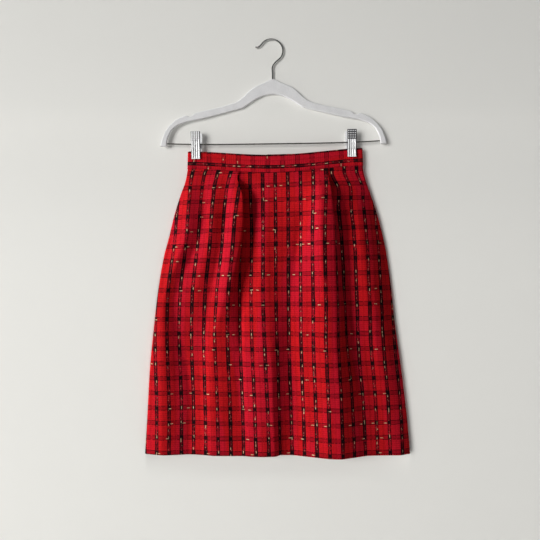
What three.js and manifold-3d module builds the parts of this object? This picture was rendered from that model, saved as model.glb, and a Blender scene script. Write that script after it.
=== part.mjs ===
// A knee-length checked wool skirt with two soft front pleats, held by the two spring clips of a slim hanger.
// Millimetres, +Z up, the garment's front faces -Y. The origin is the inside top of the hanger's hook.
import * as THREE from "three";
import { mergeVertices } from "three/addons/utils/BufferGeometryUtils.js";
import Module from "manifold-3d";

// Driving dimensions
const CLOTH_THICK = 1.2;
const BAND_THICK = 2.4;
const BAND_HEIGHT = 35;
const SEAM_GAP = 0.3;
const WAIST_CENTRE_X = 8;
const WAIST_HALF = 172;
const SEAM_END_Z = -251.5; // the waist seam's height at the side seams
const WAIST_SAG = 11; // how far the waist hangs down between the clips
const WAIST_TILT = 0.0205; // the right end is higher
const SEAM_LEVEL_Z = -260; // the level from which drops are counted
const HEM_Z = -813;
const SKIRT_DROP = SEAM_LEVEL_Z - HEM_Z;
const HANGER_TILT_DEG = 0.82; // the right end is higher
const HANGER_CENTRE_X = 2;
const HANGER_THICK = 5.6;
const HANGER_EDGE_ROUND = 1.3;
const HOOK_RADIUS = 23; // to the wire's centre
const HOOK_WIRE = 3;
const BAR_WIRE = 2.6;
const BAR_END_Z = -201.7;
const BAR_SAG = 3;
const BAR_HALF = 209.4;
const CLIP_WIDTH = 18;
const CLIP_SHEET = 1;
const CLIP_RIB_HEIGHT = 0.7;
const LEFT_CLIP_X = -147.5;
const RIGHT_CLIP_X = 158.5;
const SPRING_RADIUS = 5.1;
const SPRING_LENGTH = 11;
const ZIP_LENGTH = 178;
const ZIP_OPENING = 5.4; // between the back panels' edges along the zip
const TAPE_WIDTH = 24;
const TAPE_THICK = 1;
const COIL_WIDTH = 3.8;
const COIL_THICK = 1.5;
const SLIDER_DROP = 11; // the slider's middle, below the waist seam
const BUTTON_DIAMETER = 15;
const BUTTON_THICK = 3;

// Small numeric helpers
const rad = THREE.MathUtils.degToRad;
const lerp = THREE.MathUtils.lerp;
const clamp = THREE.MathUtils.clamp;
const smooth = (t) => THREE.MathUtils.smoothstep(t, 0, 1);

// Reads a column of a table that has one value for each of the drops, easing between them.
function eased(drops, values, drop) {
  let i = 0;
  while (i < drops.length - 2 && drop > drops[i + 1]) i += 1;
  const last = drops.length - 1;
  const slopeAt = (k) => {
    const before = Math.max(k - 1, 0);
    const after = Math.min(k + 1, last);
    return (values[after] - values[before]) / (drops[after] - drops[before]);
  };
  const span = drops[i + 1] - drops[i];
  const t = clamp((drop - drops[i]) / span, 0, 1);
  const t2 = t * t;
  const t3 = t2 * t;
  return values[i] * (2 * t3 - 3 * t2 + 1) + span * slopeAt(i) * (t3 - 2 * t2 + t)
    + values[i + 1] * (3 * t2 - 2 * t3) + span * slopeAt(i + 1) * (t3 - t2);
}

// The outline, with one value for each drop below the waist seam: where the side seams and the grain line
// lie across, the radius of the rounded sides, and how far the front and the back bulge.
const OUTLINE_DROPS = [0, 14, 28, 50, 92, 134, 170, 235, 305, 384, 480, 556];
const OUTLINE = {
  leftX: [-163.6, -165.9, -169.3, -177.5, -190.4, -200.6, -210.2, -221.4, -229.6, -237.4, -242.8, -247.1],
  rightX: [180, 182.2, 186, 193.5, 208, 219, 226.6, 235.9, 243.4, 254.5, 266.5, 273.1],
  grainX: [8, 8.2, 8.3, 8.5, 8.9, 9, 9.1, 9.2, 10.6, 13.1, 15.6, 17.3],
  radius: [3, 3.3, 3.6, 4.1, 5, 5.6, 6, 6.5, 7, 7, 7, 7],
  frontBulge: [7.5, 8, 9, 10.5, 13, 14, 14.5, 15, 15.5, 15.5, 16, 16],
  backBulge: [3.5, 3.8, 4.1, 4.6, 5.5, 6.1, 6.5, 7, 7.5, 8, 8.5, 9],
};
const outlineAt = (name, drop) => eased(OUTLINE_DROPS, OUTLINE[name], drop);

// Fold lines of the front, from its left side to its right, with one value for each of these drops:
// the fold's place in the cloth counted from the grain line, the cloth's slope after it in degrees (away
// from the viewer is positive), and the width of cloth over which it turns. Both pleats lap to the right:
// at the waist seam each turns the cloth right back, and 38 mm are folded away.
const FOLD_DROPS = [0, 14, 48, 113, 250, 340, 447, 556];
const LEFT_SIDE_SLOPE = [0, -4, -14, -14, -14, -6, 0, 0];
const FRONT_FOLDS = [
  {
    fold: "left fold start",
    place: [-200, -200, -200, -196, -228, -230, -232, -234],
    slope: [0, 7, 24, 28, 24, 23, 19, 18],
    spread: [10, 10, 10, 12, 12, 12, 14, 14],
  },
  {
    fold: "left fold end",
    place: [-176, -176, -168, -166, -205, -192, -176, -182],
    slope: [0, 0, -8, -19, -2, 3, -11, 0],
    spread: [10, 10, 12, 12, 16, 14, 12, 14],
  },
  {
    fold: "side dip",
    place: [-152, -152, -152, -146, -164, -168, -158, -166],
    slope: [0, 4, 15, 23, 7, -9, -19, -4],
    spread: [12, 12, 12, 12, 16, 16, 16, 16],
  },
  {
    fold: "rise to left pleat",
    place: [-126, -126, -122, -121, -138, -146, -146, -152],
    slope: [0, -4, -16, -35, -27, -28, -21, -12],
    spread: [10, 10, 12, 12, 12, 12, 12, 14],
  },
  {
    fold: "left crest end",
    place: [-116, -116, -104, -102, -107, -127, -134, -134],
    slope: [0, -2, 5, 11, 7, 3, 3, 4],
    spread: [8, 8, 10, 10, 10, 12, 14, 14],
  },
  {
    fold: "left pleat lip",
    place: [-107.2, -106.2, -89.5, -81, -96, -100, -106, -104],
    slope: [180, 180, 150, 112, 33, 8, 9, 4],
    spread: [3, 3, 5, 9, 10, 12, 14, 14],
  },
  {
    fold: "left pleat root",
    place: [-88.4, -89.7, -76.7, -70.3, -72, -74, -78, -74],
    slope: [0, 4, 25, 30, -24, -23, -19, -14],
    spread: [3, 3, 6, 9, 12, 12, 12, 14],
  },
  {
    fold: "left centre crest",
    place: [-59, -59, -46, -50, -54, -54, -56, -60],
    slope: [0, 0, -12, -30, -22, -13, -9, -2],
    spread: [12, 12, 12, 12, 12, 14, 14, 14],
  },
  {
    fold: "left centre",
    place: [-30, -30, -28, -28, -30, -32, -40, -36],
    slope: [0, 2, 5, 5, 1, 1, 0, 9],
    spread: [12, 12, 12, 12, 12, 14, 14, 14],
  },
  {
    fold: "step crest",
    place: [-19.8, -19.8, -19.7, -20, -10, -10, -13.6, -11.6],
    slope: [0, 2, 6, 8, 10, 23, 38, 46],
    spread: [12, 12, 14, 14, 12, 12, 10, 9],
  },
  {
    fold: "step foot",
    place: [9.9, 9.9, 4.9, 5.9, 8, 8, 3.9, 1.9],
    slope: [0, 2, 6, 8, 9, 21, 15, 4],
    spread: [12, 12, 14, 16, 14, 12, 10, 9],
  },
  {
    fold: "rise to right pleat",
    place: [50, 50, 52, 48, 28, 25, 26, 24],
    slope: [0, -1, -16, -30, -20, -21, -17, -16],
    spread: [12, 12, 14, 14, 14, 12, 12, 12],
  },
  {
    fold: "right crest",
    place: [86.9, 86.9, 88, 90, 96, 98, 98, 98],
    slope: [0, 4, 18, 14, 7, 2, -3, -2],
    spread: [10, 10, 12, 12, 12, 14, 16, 16],
  },
  {
    fold: "right pleat lip",
    place: [102.6, 103.2, 110.1, 117.1, 119, 119, 120, 120],
    slope: [180, 180, 140, 74, 54, 42, 26, 22],
    spread: [3, 3, 6, 10, 12, 13, 12, 12],
  },
  {
    fold: "right pleat root",
    place: [121.3, 121.5, 122.9, 142, 148, 157, 173, 175],
    slope: [0, 0, 12, -11, -21, -16, -2, 2],
    spread: [3, 3, 6, 12, 12, 16, 12, 12],
  },
  {
    fold: "right valley",
    place: [160, 160, 182, 184, 190, 189, 200, 202],
    slope: [0, 4, 14, 16, 2, -13, -10, -4],
    spread: [12, 12, 12, 12, 14, 14, 14, 14],
  },
  {
    fold: "right side fall",
    place: [178, 178, 196, 204, 208, 207, 216, 224],
    slope: [0, 5, 16, 23, 17, 7, 2, -7],
    spread: [12, 12, 12, 14, 14, 14, 14, 14],
  },
  {
    fold: "right side rise",
    place: [196, 196, 208, 222, 232, 232, 243, 243],
    slope: [0, 0, 2, 19, 18, 18, 17, 20],
    spread: [12, 12, 12, 14, 14, 14, 14, 14],
  },
];

// The fold lines at one drop.
function foldsAt(drop) {
  return FRONT_FOLDS.map(({ place, slope, spread }) => ({
    at: eased(FOLD_DROPS, place, drop),
    slope: eased(FOLD_DROPS, slope, drop),
    spread: eased(FOLD_DROPS, spread, drop),
  }));
}

// How many steps the wall's columns take across a turn, across a sharp pleat's turn, and at the sides.
const TURN_STEPS = 2;
const SHARP_TURN_STEPS = 4;
const SIDE_STEPS = 2;
const EDGE_STEPS = 3;
const isSharp = (k) => /pleat (lip|root)/.test(FRONT_FOLDS[k].fold);

// How far the cloth's slope has turned at a fold line, from 0 before it to 1 after it.
const turned = (place, at, spread) => smooth((place - at) / spread + 0.5);

// The slope of the front's cloth, in radians, at a place counted from the grain line.
function frontSlope(folds, sideSlope, place) {
  let slope = sideSlope;
  let before = sideSlope;
  for (const fold of folds) {
    slope += (fold.slope - before) * turned(place, fold.at, fold.spread);
    before = fold.slope;
  }
  return rad(slope);
}

// Follows the cloth both ways from the grain line in small steps: its place, x and y.
const WALK_STEP = 0.25;
const WALK_REACH = 330;
function walkSection(folds, sideSlope, grainX) {
  const count = Math.round(WALK_REACH / WALK_STEP);
  const walk = { place: [0], x: [grainX], y: [0] };
  for (const way of [1, -1]) {
    let x = grainX;
    let y = 0;
    for (let i = 0; i < count; i += 1) {
      const slope = frontSlope(folds, sideSlope, way * (i + 0.5) * WALK_STEP);
      x += way * WALK_STEP * Math.cos(slope);
      y += way * WALK_STEP * Math.sin(slope);
      const put = way > 0 ? "push" : "unshift";
      walk.place[put](way * (i + 1) * WALK_STEP);
      walk.x[put](x);
      walk.y[put](y);
    }
  }
  return walk;
}

// Linear reading of a walk at a place.
function readWalk(walk, place) {
  const f = clamp((place + WALK_REACH) / WALK_STEP, 0, walk.place.length - 1.001);
  const i = Math.floor(f);
  const t = f - i;
  return [lerp(walk.x[i], walk.x[i + 1], t), lerp(walk.y[i], walk.y[i + 1], t)];
}

// The places of the wall's columns at one section: some on each flat stretch, more across each turn.
const LEAST_COLUMN = 0.2;
function frontColumns(folds, start, end) {
  const places = [];
  let from = start;
  folds.forEach(({ at, spread }, k) => {
    const turnSteps = isSharp(k) ? SHARP_TURN_STEPS : TURN_STEPS;
    const flatSteps = k === 0 ? SIDE_STEPS : 1;
    for (let i = 0; i < flatSteps; i += 1) places.push(lerp(from, at - spread / 2, i / flatSteps));
    for (let i = 0; i < turnSteps; i += 1) places.push(at + spread * (i / turnSteps - 0.5));
    from = at + spread / 2;
  });
  for (let i = 0; i <= SIDE_STEPS; i += 1) places.push(lerp(from, end, i / SIDE_STEPS));
  const ordered = places.map((place) => clamp(place, start, end)).sort((p, q) => p - q);
  for (let i = 1; i < ordered.length; i += 1) {
    ordered[i] = Math.max(ordered[i], ordered[i - 1] + LEAST_COLUMN);
  }
  return ordered;
}

// One level section of the front's middle surface: an arc from the left side seam, the folds, and an arc
// into the right side seam. The ends are levelled onto the seam plane and the middle bulges to the viewer.
function frontSection(drop) {
  const folds = foldsAt(drop);
  const [leftX, rightX, grainX, radius, bulge] = ["leftX", "rightX", "grainX", "radius", "frontBulge"]
    .map((name) => outlineAt(name, drop));
  const walk = walkSection(folds, eased(FOLD_DROPS, LEFT_SIDE_SLOPE, drop), grainX);
  const startIndex = walk.x.findIndex((x) => x > leftX + radius);
  const endIndex = walk.x.length - 1 - [...walk.x].reverse().findIndex((x) => x < rightX - radius);
  const start = walk.place[startIndex];
  const end = walk.place[endIndex];
  const [x0, y0] = readWalk(walk, start);
  const [x1, y1] = readWalk(walk, end);
  const middle = frontColumns(folds, start, end).map((place) => {
    const [x, y] = readWalk(walk, place);
    const t = clamp((x - x0) / (x1 - x0), 0, 1);
    const level = lerp(y0, y1, t);
    return [x, y - level - radius - bulge * (1 - (2 * t - 1) ** 4)];
  });
  const arc = [];
  for (let i = 0; i < EDGE_STEPS; i += 1) arc.push((Math.PI / 2) * (i / EDGE_STEPS));
  const left = arc.map((a) => [x0 - radius * Math.cos(a), -radius * Math.sin(a)]);
  const right = arc.map((a) => [x1 + radius * Math.cos(a), -radius * Math.sin(a)]).reverse();
  return [...left, ...middle, ...right];
}

// The waist seam's height at x, level sides with a soft sag between the clips.
function seamZ(x) {
  const across = clamp((x - WAIST_CENTRE_X) / WAIST_HALF, -1, 1);
  return SEAM_END_Z + WAIST_TILT * (x - WAIST_CENTRE_X) - WAIST_SAG * (1 - across * across) ** 2;
}

// The direction of a row at one of its points. At a row's ends it is the parabola's through three points.
function alongRow(row, c) {
  const last = row.length - 1;
  const way = (i, k) => row[i][k];
  if (c > 0 && c < last) return [0, 1].map((k) => way(c + 1, k) - way(c - 1, k));
  const [a, b, d] = c === 0 ? [0, 1, 2] : [last, last - 1, last - 2];
  const sign = c === 0 ? 1 : -1;
  return [0, 1].map((k) => sign * (4 * way(b, k) - 3 * way(a, k) - way(d, k)));
}

// A closed wall on a grid of middle points: rows down, columns across. Each row is a level section, and
// the wall's two faces lie half its thickness to either side, along the section's own normals.
// side is 1 where going along the columns keeps the outside on the right.
function wallGeometry(rows, thick, side, relief = () => 0) {
  const columns = rows[0].length;
  const outer = [];
  const inner = [];
  rows.forEach((row, r) => {
    row.forEach((point, c) => {
      const [dx, dy] = alongRow(row, c);
      let nx = dy;
      let ny = -dx;
      const length = Math.hypot(nx, ny) || 1;
      nx *= side / length;
      ny *= side / length;
      const raised = thick / 2 + relief(r, c);
      outer.push([point[0] + nx * raised, point[1] + ny * raised, point[2]]);
      inner.push([point[0] - nx * (thick / 2), point[1] - ny * (thick / 2), point[2]]);
    });
  });
  return closeGrid(outer, inner, rows.length, columns, side);
}

// Joins an outer and an inner grid into one closed mesh with its faces turned out.
function closeGrid(outer, inner, rowCount, columns, side) {
  const points = [...outer, ...inner];
  const back = outer.length;
  const index = [];
  const quad = (a, b, c, d) => {
    if (side > 0) index.push(a, b, c, a, c, d);
    else index.push(a, c, b, a, d, c);
  };
  for (let r = 0; r < rowCount - 1; r += 1) {
    for (let c = 0; c < columns - 1; c += 1) {
      const a = r * columns + c;
      quad(a, a + columns, a + columns + 1, a + 1);
      quad(back + a, back + a + 1, back + a + columns + 1, back + a + columns);
    }
    const leftEdge = r * columns;
    const rightEdge = leftEdge + columns - 1;
    quad(leftEdge, back + leftEdge, back + leftEdge + columns, leftEdge + columns);
    quad(rightEdge, rightEdge + columns, back + rightEdge + columns, back + rightEdge);
  }
  const last = (rowCount - 1) * columns;
  for (let c = 0; c < columns - 1; c += 1) {
    quad(c, c + 1, back + c + 1, back + c);
    quad(last + c, back + last + c, back + last + c + 1, last + c + 1);
  }
  const geometry = new THREE.BufferGeometry();
  geometry.setAttribute("position", new THREE.Float32BufferAttribute(points.flat(), 3));
  geometry.setIndex(index);
  geometry.computeVertexNormals();
  return geometry;
}

// Materials
const plaidWool = new THREE.MeshStandardMaterial({ color: 0xb5121b, roughness: 0.95 });
const bandWool = new THREE.MeshStandardMaterial({ color: 0xa81019, roughness: 0.95 });
const flock = new THREE.MeshStandardMaterial({ color: 0xd0d0d2, roughness: 0.98 });
const chrome = new THREE.MeshStandardMaterial({ color: 0xd8d9da, roughness: 0.2, metalness: 1 });
const springSteel = new THREE.MeshStandardMaterial({ color: 0x55565a, roughness: 0.4, metalness: 1 });
const zipTape = new THREE.MeshStandardMaterial({ color: 0x9c1018, roughness: 0.9 });
const zipMetal = new THREE.MeshStandardMaterial({ color: 0xb9babd, roughness: 0.3, metalness: 1 });
const buttonPlastic = new THREE.MeshStandardMaterial({ color: 0x7d0d14, roughness: 0.35 });

const skirt = new THREE.Group();

function addMesh(parent, name, geometry, material) {
  const mesh = new THREE.Mesh(geometry, material);
  mesh.name = name;
  parent.add(mesh);
  return mesh;
}

// Front panel
const PANEL_DROPS = [0, 14, 30, 48, 68, 90, 113, 140, 170, 205, 250, 295, 340, 385, 430, 475, 520, 556];
const dropShare = (drop) => drop / PANEL_DROPS[PANEL_DROPS.length - 1];
const heightAt = (x, share) => lerp(seamZ(x) - SEAM_GAP, HEM_Z, share);

function frontRows() {
  return PANEL_DROPS.map((drop) => frontSection(drop).map(([x, y], c, all) => {
    const inset = c === 0 || c === all.length - 1 ? -SEAM_GAP / 2 : 0;
    return [x, y + inset, heightAt(x, dropShare(drop))];
  }));
}

// Back panels: an arc from the side seam, then a nearly flat back with soft hanging folds.
// Each fold: where it lies as a share from the centre back to the side, its half width as a share,
// and how far it stands out at the hem (mm, towards the wall is positive).
const BACK_FOLDS = [
  [0.2, 0.13, 3.2],
  [0.46, 0.1, -2.6],
  [0.64, 0.12, 4],
  [0.84, 0.08, -2.4],
];
const BACK_COLUMNS = 15;

function backDepth(drop, share, mirrorShift) {
  const radius = outlineAt("radius", drop);
  const bulge = outlineAt("backBulge", drop);
  const grown = smooth(drop / 240);
  let y = radius + bulge * (1 - share ** 3);
  for (const [at, half, amount] of BACK_FOLDS) {
    const away = (share - at - mirrorShift) / half;
    y += amount * grown * Math.exp(-away * away);
  }
  return y;
}

const centreBackX = (drop) => lerp(WAIST_CENTRE_X, 13, drop / SKIRT_DROP);
const zipShare = (drop) => 1 - smooth((drop - ZIP_LENGTH) / 12);
const BACK_DROPS = [0, 25, 60, 105, ZIP_LENGTH - 24, ZIP_LENGTH, ZIP_LENGTH + 12, 250, 320, 390, 470, 556];

function backRows(way) {
  const mirrorShift = way > 0 ? 0.03 : -0.02;
  return BACK_DROPS.map((drop) => {
    const side = outlineAt(way > 0 ? "rightX" : "leftX", drop);
    const radius = outlineAt("radius", drop);
    const centre = centreBackX(drop) + way * lerp(SEAM_GAP / 2, ZIP_OPENING / 2, zipShare(drop));
    const edge = side - way * radius;
    const row = [];
    for (let c = 0; c <= BACK_COLUMNS; c += 1) {
      const share = c / BACK_COLUMNS;
      row.push([lerp(centre, edge, share), backDepth(drop, share, mirrorShift)]);
    }
    for (let i = 1; i <= EDGE_STEPS; i += 1) {
      const a = (Math.PI / 2) * (i / EDGE_STEPS);
      const inset = i === EDGE_STEPS ? SEAM_GAP / 2 : 0;
      row.push([edge + way * radius * Math.sin(a), radius * Math.cos(a) + inset]);
    }
    return row.map(([x, y]) => [x, y, heightAt(x, dropShare(drop))]);
  });
}

// Waistband: a strip that starts at the centre back, runs round the front and laps over its own start.
const BAND_EDGE_RADIUS = 2.8;
const BAND_LAP = 32;
const BAND_FRONT_OPEN = 8;
const BAND_BACK_OPEN = 3.5;
const BACK_BAND_RISE = 2.5; // the back's top edge sags less than the front's
const BAND_DOWNS = [0, 0.22, 0.45, 0.72, 1];
const CLIP_FLAT = CLIP_WIDTH / 2 + 1.5;

// The half gap between the front and back of the band: pinched at the clips, open between them.
function bandDepth(x, down, open) {
  const from = LEFT_CLIP_X + CLIP_FLAT;
  const between = clamp((x - from) / (RIGHT_CLIP_X - CLIP_FLAT - from), 0, 1);
  const belly = Math.sin(Math.PI * between) ** 1.3;
  const pinched = BAND_THICK / 2 + SEAM_GAP;
  const pinch = lerp(pinched, BAND_EDGE_RADIUS, smooth((down - 0.45) / 0.55));
  return pinch + belly * lerp(0.75, 1, down) * open;
}

function bandRing(down) {
  const leftX = lerp(-162.5, -163.5, down) + BAND_EDGE_RADIUS;
  const rightX = lerp(178.8, 180.4, down) - BAND_EDGE_RADIUS;
  const frontSteps = 20;
  const backSteps = 9;
  const lapStart = WAIST_CENTRE_X + BAND_LAP / 2;
  const lapEnd = WAIST_CENTRE_X - BAND_LAP / 2;
  const under = BAND_THICK + SEAM_GAP;
  const ring = [];
  // the underlap, inside the lap
  for (const t of [0, 0.5, 1]) {
    const x = lerp(lapEnd, lapStart + 1, t);
    ring.push([x, bandDepth(x, down, BAND_BACK_OPEN) - under]);
  }
  const ease = 26;
  for (let c = 1; c <= backSteps; c += 1) {
    const x = lerp(lapStart, rightX, c / backSteps);
    const eased = under * (1 - smooth((x - lapStart) / ease));
    ring.push([x, bandDepth(x, down, BAND_BACK_OPEN) - eased]);
  }
  for (const turn of [0.2, 0.4, 0.6, 0.8]) {
    const a = Math.PI * turn;
    ring.push([rightX + BAND_EDGE_RADIUS * Math.sin(a), bandEnd(rightX, down) * Math.cos(a)]);
  }
  for (let c = 0; c <= frontSteps; c += 1) {
    const x = lerp(rightX, leftX, c / frontSteps);
    ring.push([x, -bandDepth(x, down, BAND_FRONT_OPEN)]);
  }
  for (const turn of [0.2, 0.4, 0.6, 0.8]) {
    const a = Math.PI * turn;
    ring.push([leftX - BAND_EDGE_RADIUS * Math.sin(a), -bandEnd(leftX, down) * Math.cos(a)]);
  }
  for (let c = 0; c <= backSteps; c += 1) {
    const x = lerp(leftX, lapStart, c / backSteps);
    ring.push([x, bandDepth(x, down, BAND_BACK_OPEN)]);
  }
  return ring;
}

const bandEnd = (x, down) => bandDepth(x, down, 0);

function bandRows() {
  return BAND_DOWNS.map((down) => bandRing(down).map(([x, y]) => {
    const between = clamp((x - LEFT_CLIP_X) / (RIGHT_CLIP_X - LEFT_CLIP_X), 0, 1);
    const backRise = y > 0 ? BACK_BAND_RISE * Math.sin(Math.PI * between) : 0;
    return [x, y, lerp(seamZ(x) + BAND_HEIGHT + backRise, seamZ(x), down)];
  }));
}

addMesh(skirt, "front_panel", wallGeometry(frontRows(), CLOTH_THICK, 1), plaidWool);
addMesh(skirt, "back_left_panel", wallGeometry(backRows(-1), CLOTH_THICK, 1), plaidWool);
addMesh(skirt, "back_right_panel", wallGeometry(backRows(1), CLOTH_THICK, -1), plaidWool);
addMesh(skirt, "waistband", wallGeometry(bandRows(), BAND_THICK, -1), bandWool);

// Zip at the centre back: the tape lies inside the two panels, the coil stands in the gap between them.
const ZIP_DROPS = [2, 20, 45, 75, 105, 140, ZIP_LENGTH - 2];
const TAPE_INSET = CLOTH_THICK / 2 + SEAM_GAP + TAPE_THICK / 2 + 0.1;
const COIL_LIFT = TAPE_THICK / 2 + SEAM_GAP + COIL_THICK / 2 - TAPE_INSET;

// A strip along the zip, a little way out from the back panels' middle surface.
function zipRows(width, steps, lift) {
  return ZIP_DROPS.map((drop) => {
    const centre = centreBackX(drop);
    const row = [];
    for (let c = 0; c <= steps; c += 1) {
      const across = width * (c / steps - 0.5);
      const share = Math.abs(across) / 250;
      const x = centre + across;
      row.push([x, backDepth(drop, share, 0) + lift, heightAt(x, dropShare(drop))]);
    }
    return row;
  });
}

addMesh(skirt, "zip_tape", wallGeometry(zipRows(TAPE_WIDTH, 4, -TAPE_INSET), TAPE_THICK, -1), zipTape);
addMesh(skirt, "zip_coil", wallGeometry(zipRows(COIL_WIDTH, 2, COIL_LIFT), COIL_THICK, -1), zipTape);

const wasm = await Module();
wasm.setup();

// A closed mesh as a solid for joining and cutting, and back again.
function toSolid(geometry) {
  const flat = geometry.index ? geometry.toNonIndexed() : geometry.clone();
  for (const name of ["normal", "uv"]) flat.deleteAttribute(name);
  const merged = mergeVertices(flat, 1e-4);
  return new wasm.Manifold(new wasm.Mesh({
    numProp: 3,
    vertProperties: merged.attributes.position.array,
    triVerts: new Uint32Array(merged.index.array),
  }));
}

function fromSolid(solid) {
  const made = solid.getMesh();
  const geometry = new THREE.BufferGeometry();
  geometry.setAttribute("position", new THREE.Float32BufferAttribute(made.vertProperties, 3));
  geometry.setIndex([...made.triVerts]);
  geometry.computeVertexNormals();
  return geometry;
}

// A flat outline in the X-Z plane, extruded evenly to both sides of y = 0.
function plateGeometry(shape, thick, round = 0) {
  const options = { depth: thick - 2 * round, curveSegments: 5, bevelEnabled: round > 0 };
  Object.assign(options, { bevelThickness: round, bevelSize: round, bevelOffset: -round, bevelSegments: 2 });
  const geometry = new THREE.ExtrudeGeometry(shape, options);
  geometry.translate(0, 0, -(thick - 2 * round) / 2);
  return geometry.rotateX(Math.PI / 2);
}

function roundedRect(halfWidth, bottom, top, corner) {
  const shape = new THREE.Shape();
  shape.moveTo(-halfWidth + corner, bottom);
  shape.lineTo(halfWidth - corner, bottom);
  shape.absarc(halfWidth - corner, bottom + corner, corner, -Math.PI / 2, 0);
  shape.lineTo(halfWidth, top - corner);
  shape.absarc(halfWidth - corner, top - corner, corner, 0, Math.PI / 2);
  shape.lineTo(-halfWidth + corner, top);
  shape.absarc(-halfWidth + corner, top - corner, corner, Math.PI / 2, Math.PI);
  shape.lineTo(-halfWidth, bottom + corner);
  shape.absarc(-halfWidth + corner, bottom + corner, corner, Math.PI, Math.PI * 1.5);
  return shape;
}

// Zip slider: a plate over the coil with a bridge on it; the pull tab's eye hangs in the bridge.
// Its group's origin is on the plate's outer face at the slider's middle, +Y away from the cloth.
const SLIDER_HALF = 3.5;
const SLIDER_LENGTH = 9;
const SLIDER_PLATE = 1.6;
const BRIDGE_OUT = 3.6;
const BRIDGE_WIRE = 0.9;
const BRIDGE_HALF_LENGTH = 3.4;
const BRIDGE_HALF_WIDTH = 0.8;
const PULL_PIVOT_Y = 1.25;
const PULL_PIVOT_Z = -1.25;
const PULL_HALF = 2.6;
const PULL_LENGTH = 24;
const PULL_THICK = 1.1;
const PULL_SLOT_HALF = 1.25;
const PULL_SLOT_LENGTH = 6.6;
const PULL_RIM = 0.6;

function sliderGeometry() {
  const half = SLIDER_LENGTH / 2;
  const plate = plateGeometry(roundedRect(SLIDER_HALF, -half, half, 1.4), SLIDER_PLATE, 0.3);
  plate.translate(0, -SLIDER_PLATE / 2, 0);
  const arch = new THREE.Shape();
  const root = -0.6;
  const corner = 1.4;
  const outerHalf = BRIDGE_HALF_LENGTH;
  const innerHalf = BRIDGE_HALF_LENGTH - BRIDGE_WIRE;
  const crown = BRIDGE_OUT;
  const under = BRIDGE_OUT - BRIDGE_WIRE;
  arch.moveTo(root, -outerHalf);
  arch.lineTo(crown - corner, -outerHalf);
  arch.absarc(crown - corner, -outerHalf + corner, corner, -Math.PI / 2, 0);
  arch.lineTo(crown, outerHalf - corner);
  arch.absarc(crown - corner, outerHalf - corner, corner, 0, Math.PI / 2);
  arch.lineTo(root, outerHalf);
  arch.lineTo(root, innerHalf);
  arch.lineTo(under - 0.5, innerHalf);
  arch.lineTo(under, innerHalf - 0.5);
  arch.lineTo(under, -innerHalf + 0.5);
  arch.lineTo(under - 0.5, -innerHalf);
  arch.lineTo(root, -innerHalf);
  const bridge = new THREE.ExtrudeGeometry(arch, {
    depth: 2 * BRIDGE_HALF_WIDTH, bevelEnabled: false, curveSegments: 4,
  });
  bridge.translate(0, 0, -BRIDGE_HALF_WIDTH);
  // the shape's own axes are Y and Z, its depth runs along X
  bridge.applyMatrix4(new THREE.Matrix4().set(0, 0, 1, 0, 1, 0, 0, 0, 0, 1, 0, 0, 0, 0, 0, 1));
  return fromSolid(toSolid(plate).add(toSolid(bridge)));
}

function pullGeometry() {
  const top = PULL_RIM;
  const outline = roundedRect(PULL_HALF, top - PULL_LENGTH, top, 1.2);
  const slot = new THREE.Path();
  slot.moveTo(-PULL_SLOT_HALF, -PULL_RIM);
  slot.lineTo(-PULL_SLOT_HALF, -PULL_RIM - PULL_SLOT_LENGTH);
  slot.lineTo(PULL_SLOT_HALF, -PULL_RIM - PULL_SLOT_LENGTH);
  slot.lineTo(PULL_SLOT_HALF, -PULL_RIM);
  outline.holes.push(slot);
  return plateGeometry(outline, PULL_THICK);
}

const sliderX = centreBackX(SLIDER_DROP);
const sliderZ = heightAt(sliderX, dropShare(SLIDER_DROP));
const sliderLean = Math.atan2(backDepth(SLIDER_DROP + 12, 0, 0) - backDepth(SLIDER_DROP, 0, 0), 12);
const zipHead = new THREE.Group();
const coilOut = backDepth(SLIDER_DROP, 0, 0) + COIL_LIFT + COIL_THICK / 2;
zipHead.position.set(sliderX, coilOut + SEAM_GAP + 0.1 + SLIDER_PLATE, sliderZ);
zipHead.rotation.x = sliderLean;
addMesh(zipHead, "zip_slider", sliderGeometry(), zipMetal);
const pull = addMesh(zipHead, "zip_pull", pullGeometry(), zipMetal);
pull.position.set(0, PULL_PIVOT_Y, PULL_PIVOT_Z);
pull.rotation.x = -sliderLean;
skirt.add(zipHead);

// Button on the outer end of the waistband's lap
const BUTTON_X = WAIST_CENTRE_X + BAND_LAP / 2 - 11;
const buttonDown = 0.5;
const bandOut = (down) => bandDepth(BUTTON_X, down, BAND_BACK_OPEN) + BAND_THICK / 2;

// The button's profile: a flat back, a rounded rim and a dished front.
function buttonGeometry() {
  const r = BUTTON_DIAMETER / 2;
  const rim = [[r - 1.2, 0], [r, 1.1], [r, 2.1], [r - 0.9, BUTTON_THICK], [r - 2.2, BUTTON_THICK]];
  const profile = [[0, 0], ...rim, [r - 3.2, BUTTON_THICK - 0.9], [0, BUTTON_THICK - 0.9]];
  return new THREE.LatheGeometry(profile.map(([x, y]) => new THREE.Vector2(x, y)), 24);
}
const button = addMesh(skirt, "waist_button", buttonGeometry(), buttonPlastic);
const buttonLean = Math.atan2(bandOut(0.7) - bandOut(0.3), 0.4 * BAND_HEIGHT);
const buttonZ = seamZ(BUTTON_X) + BAND_HEIGHT * (1 - buttonDown);
button.position.set(BUTTON_X, bandOut(buttonDown) + SEAM_GAP + 0.15, buttonZ);
button.rotation.x = buttonLean;

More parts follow.
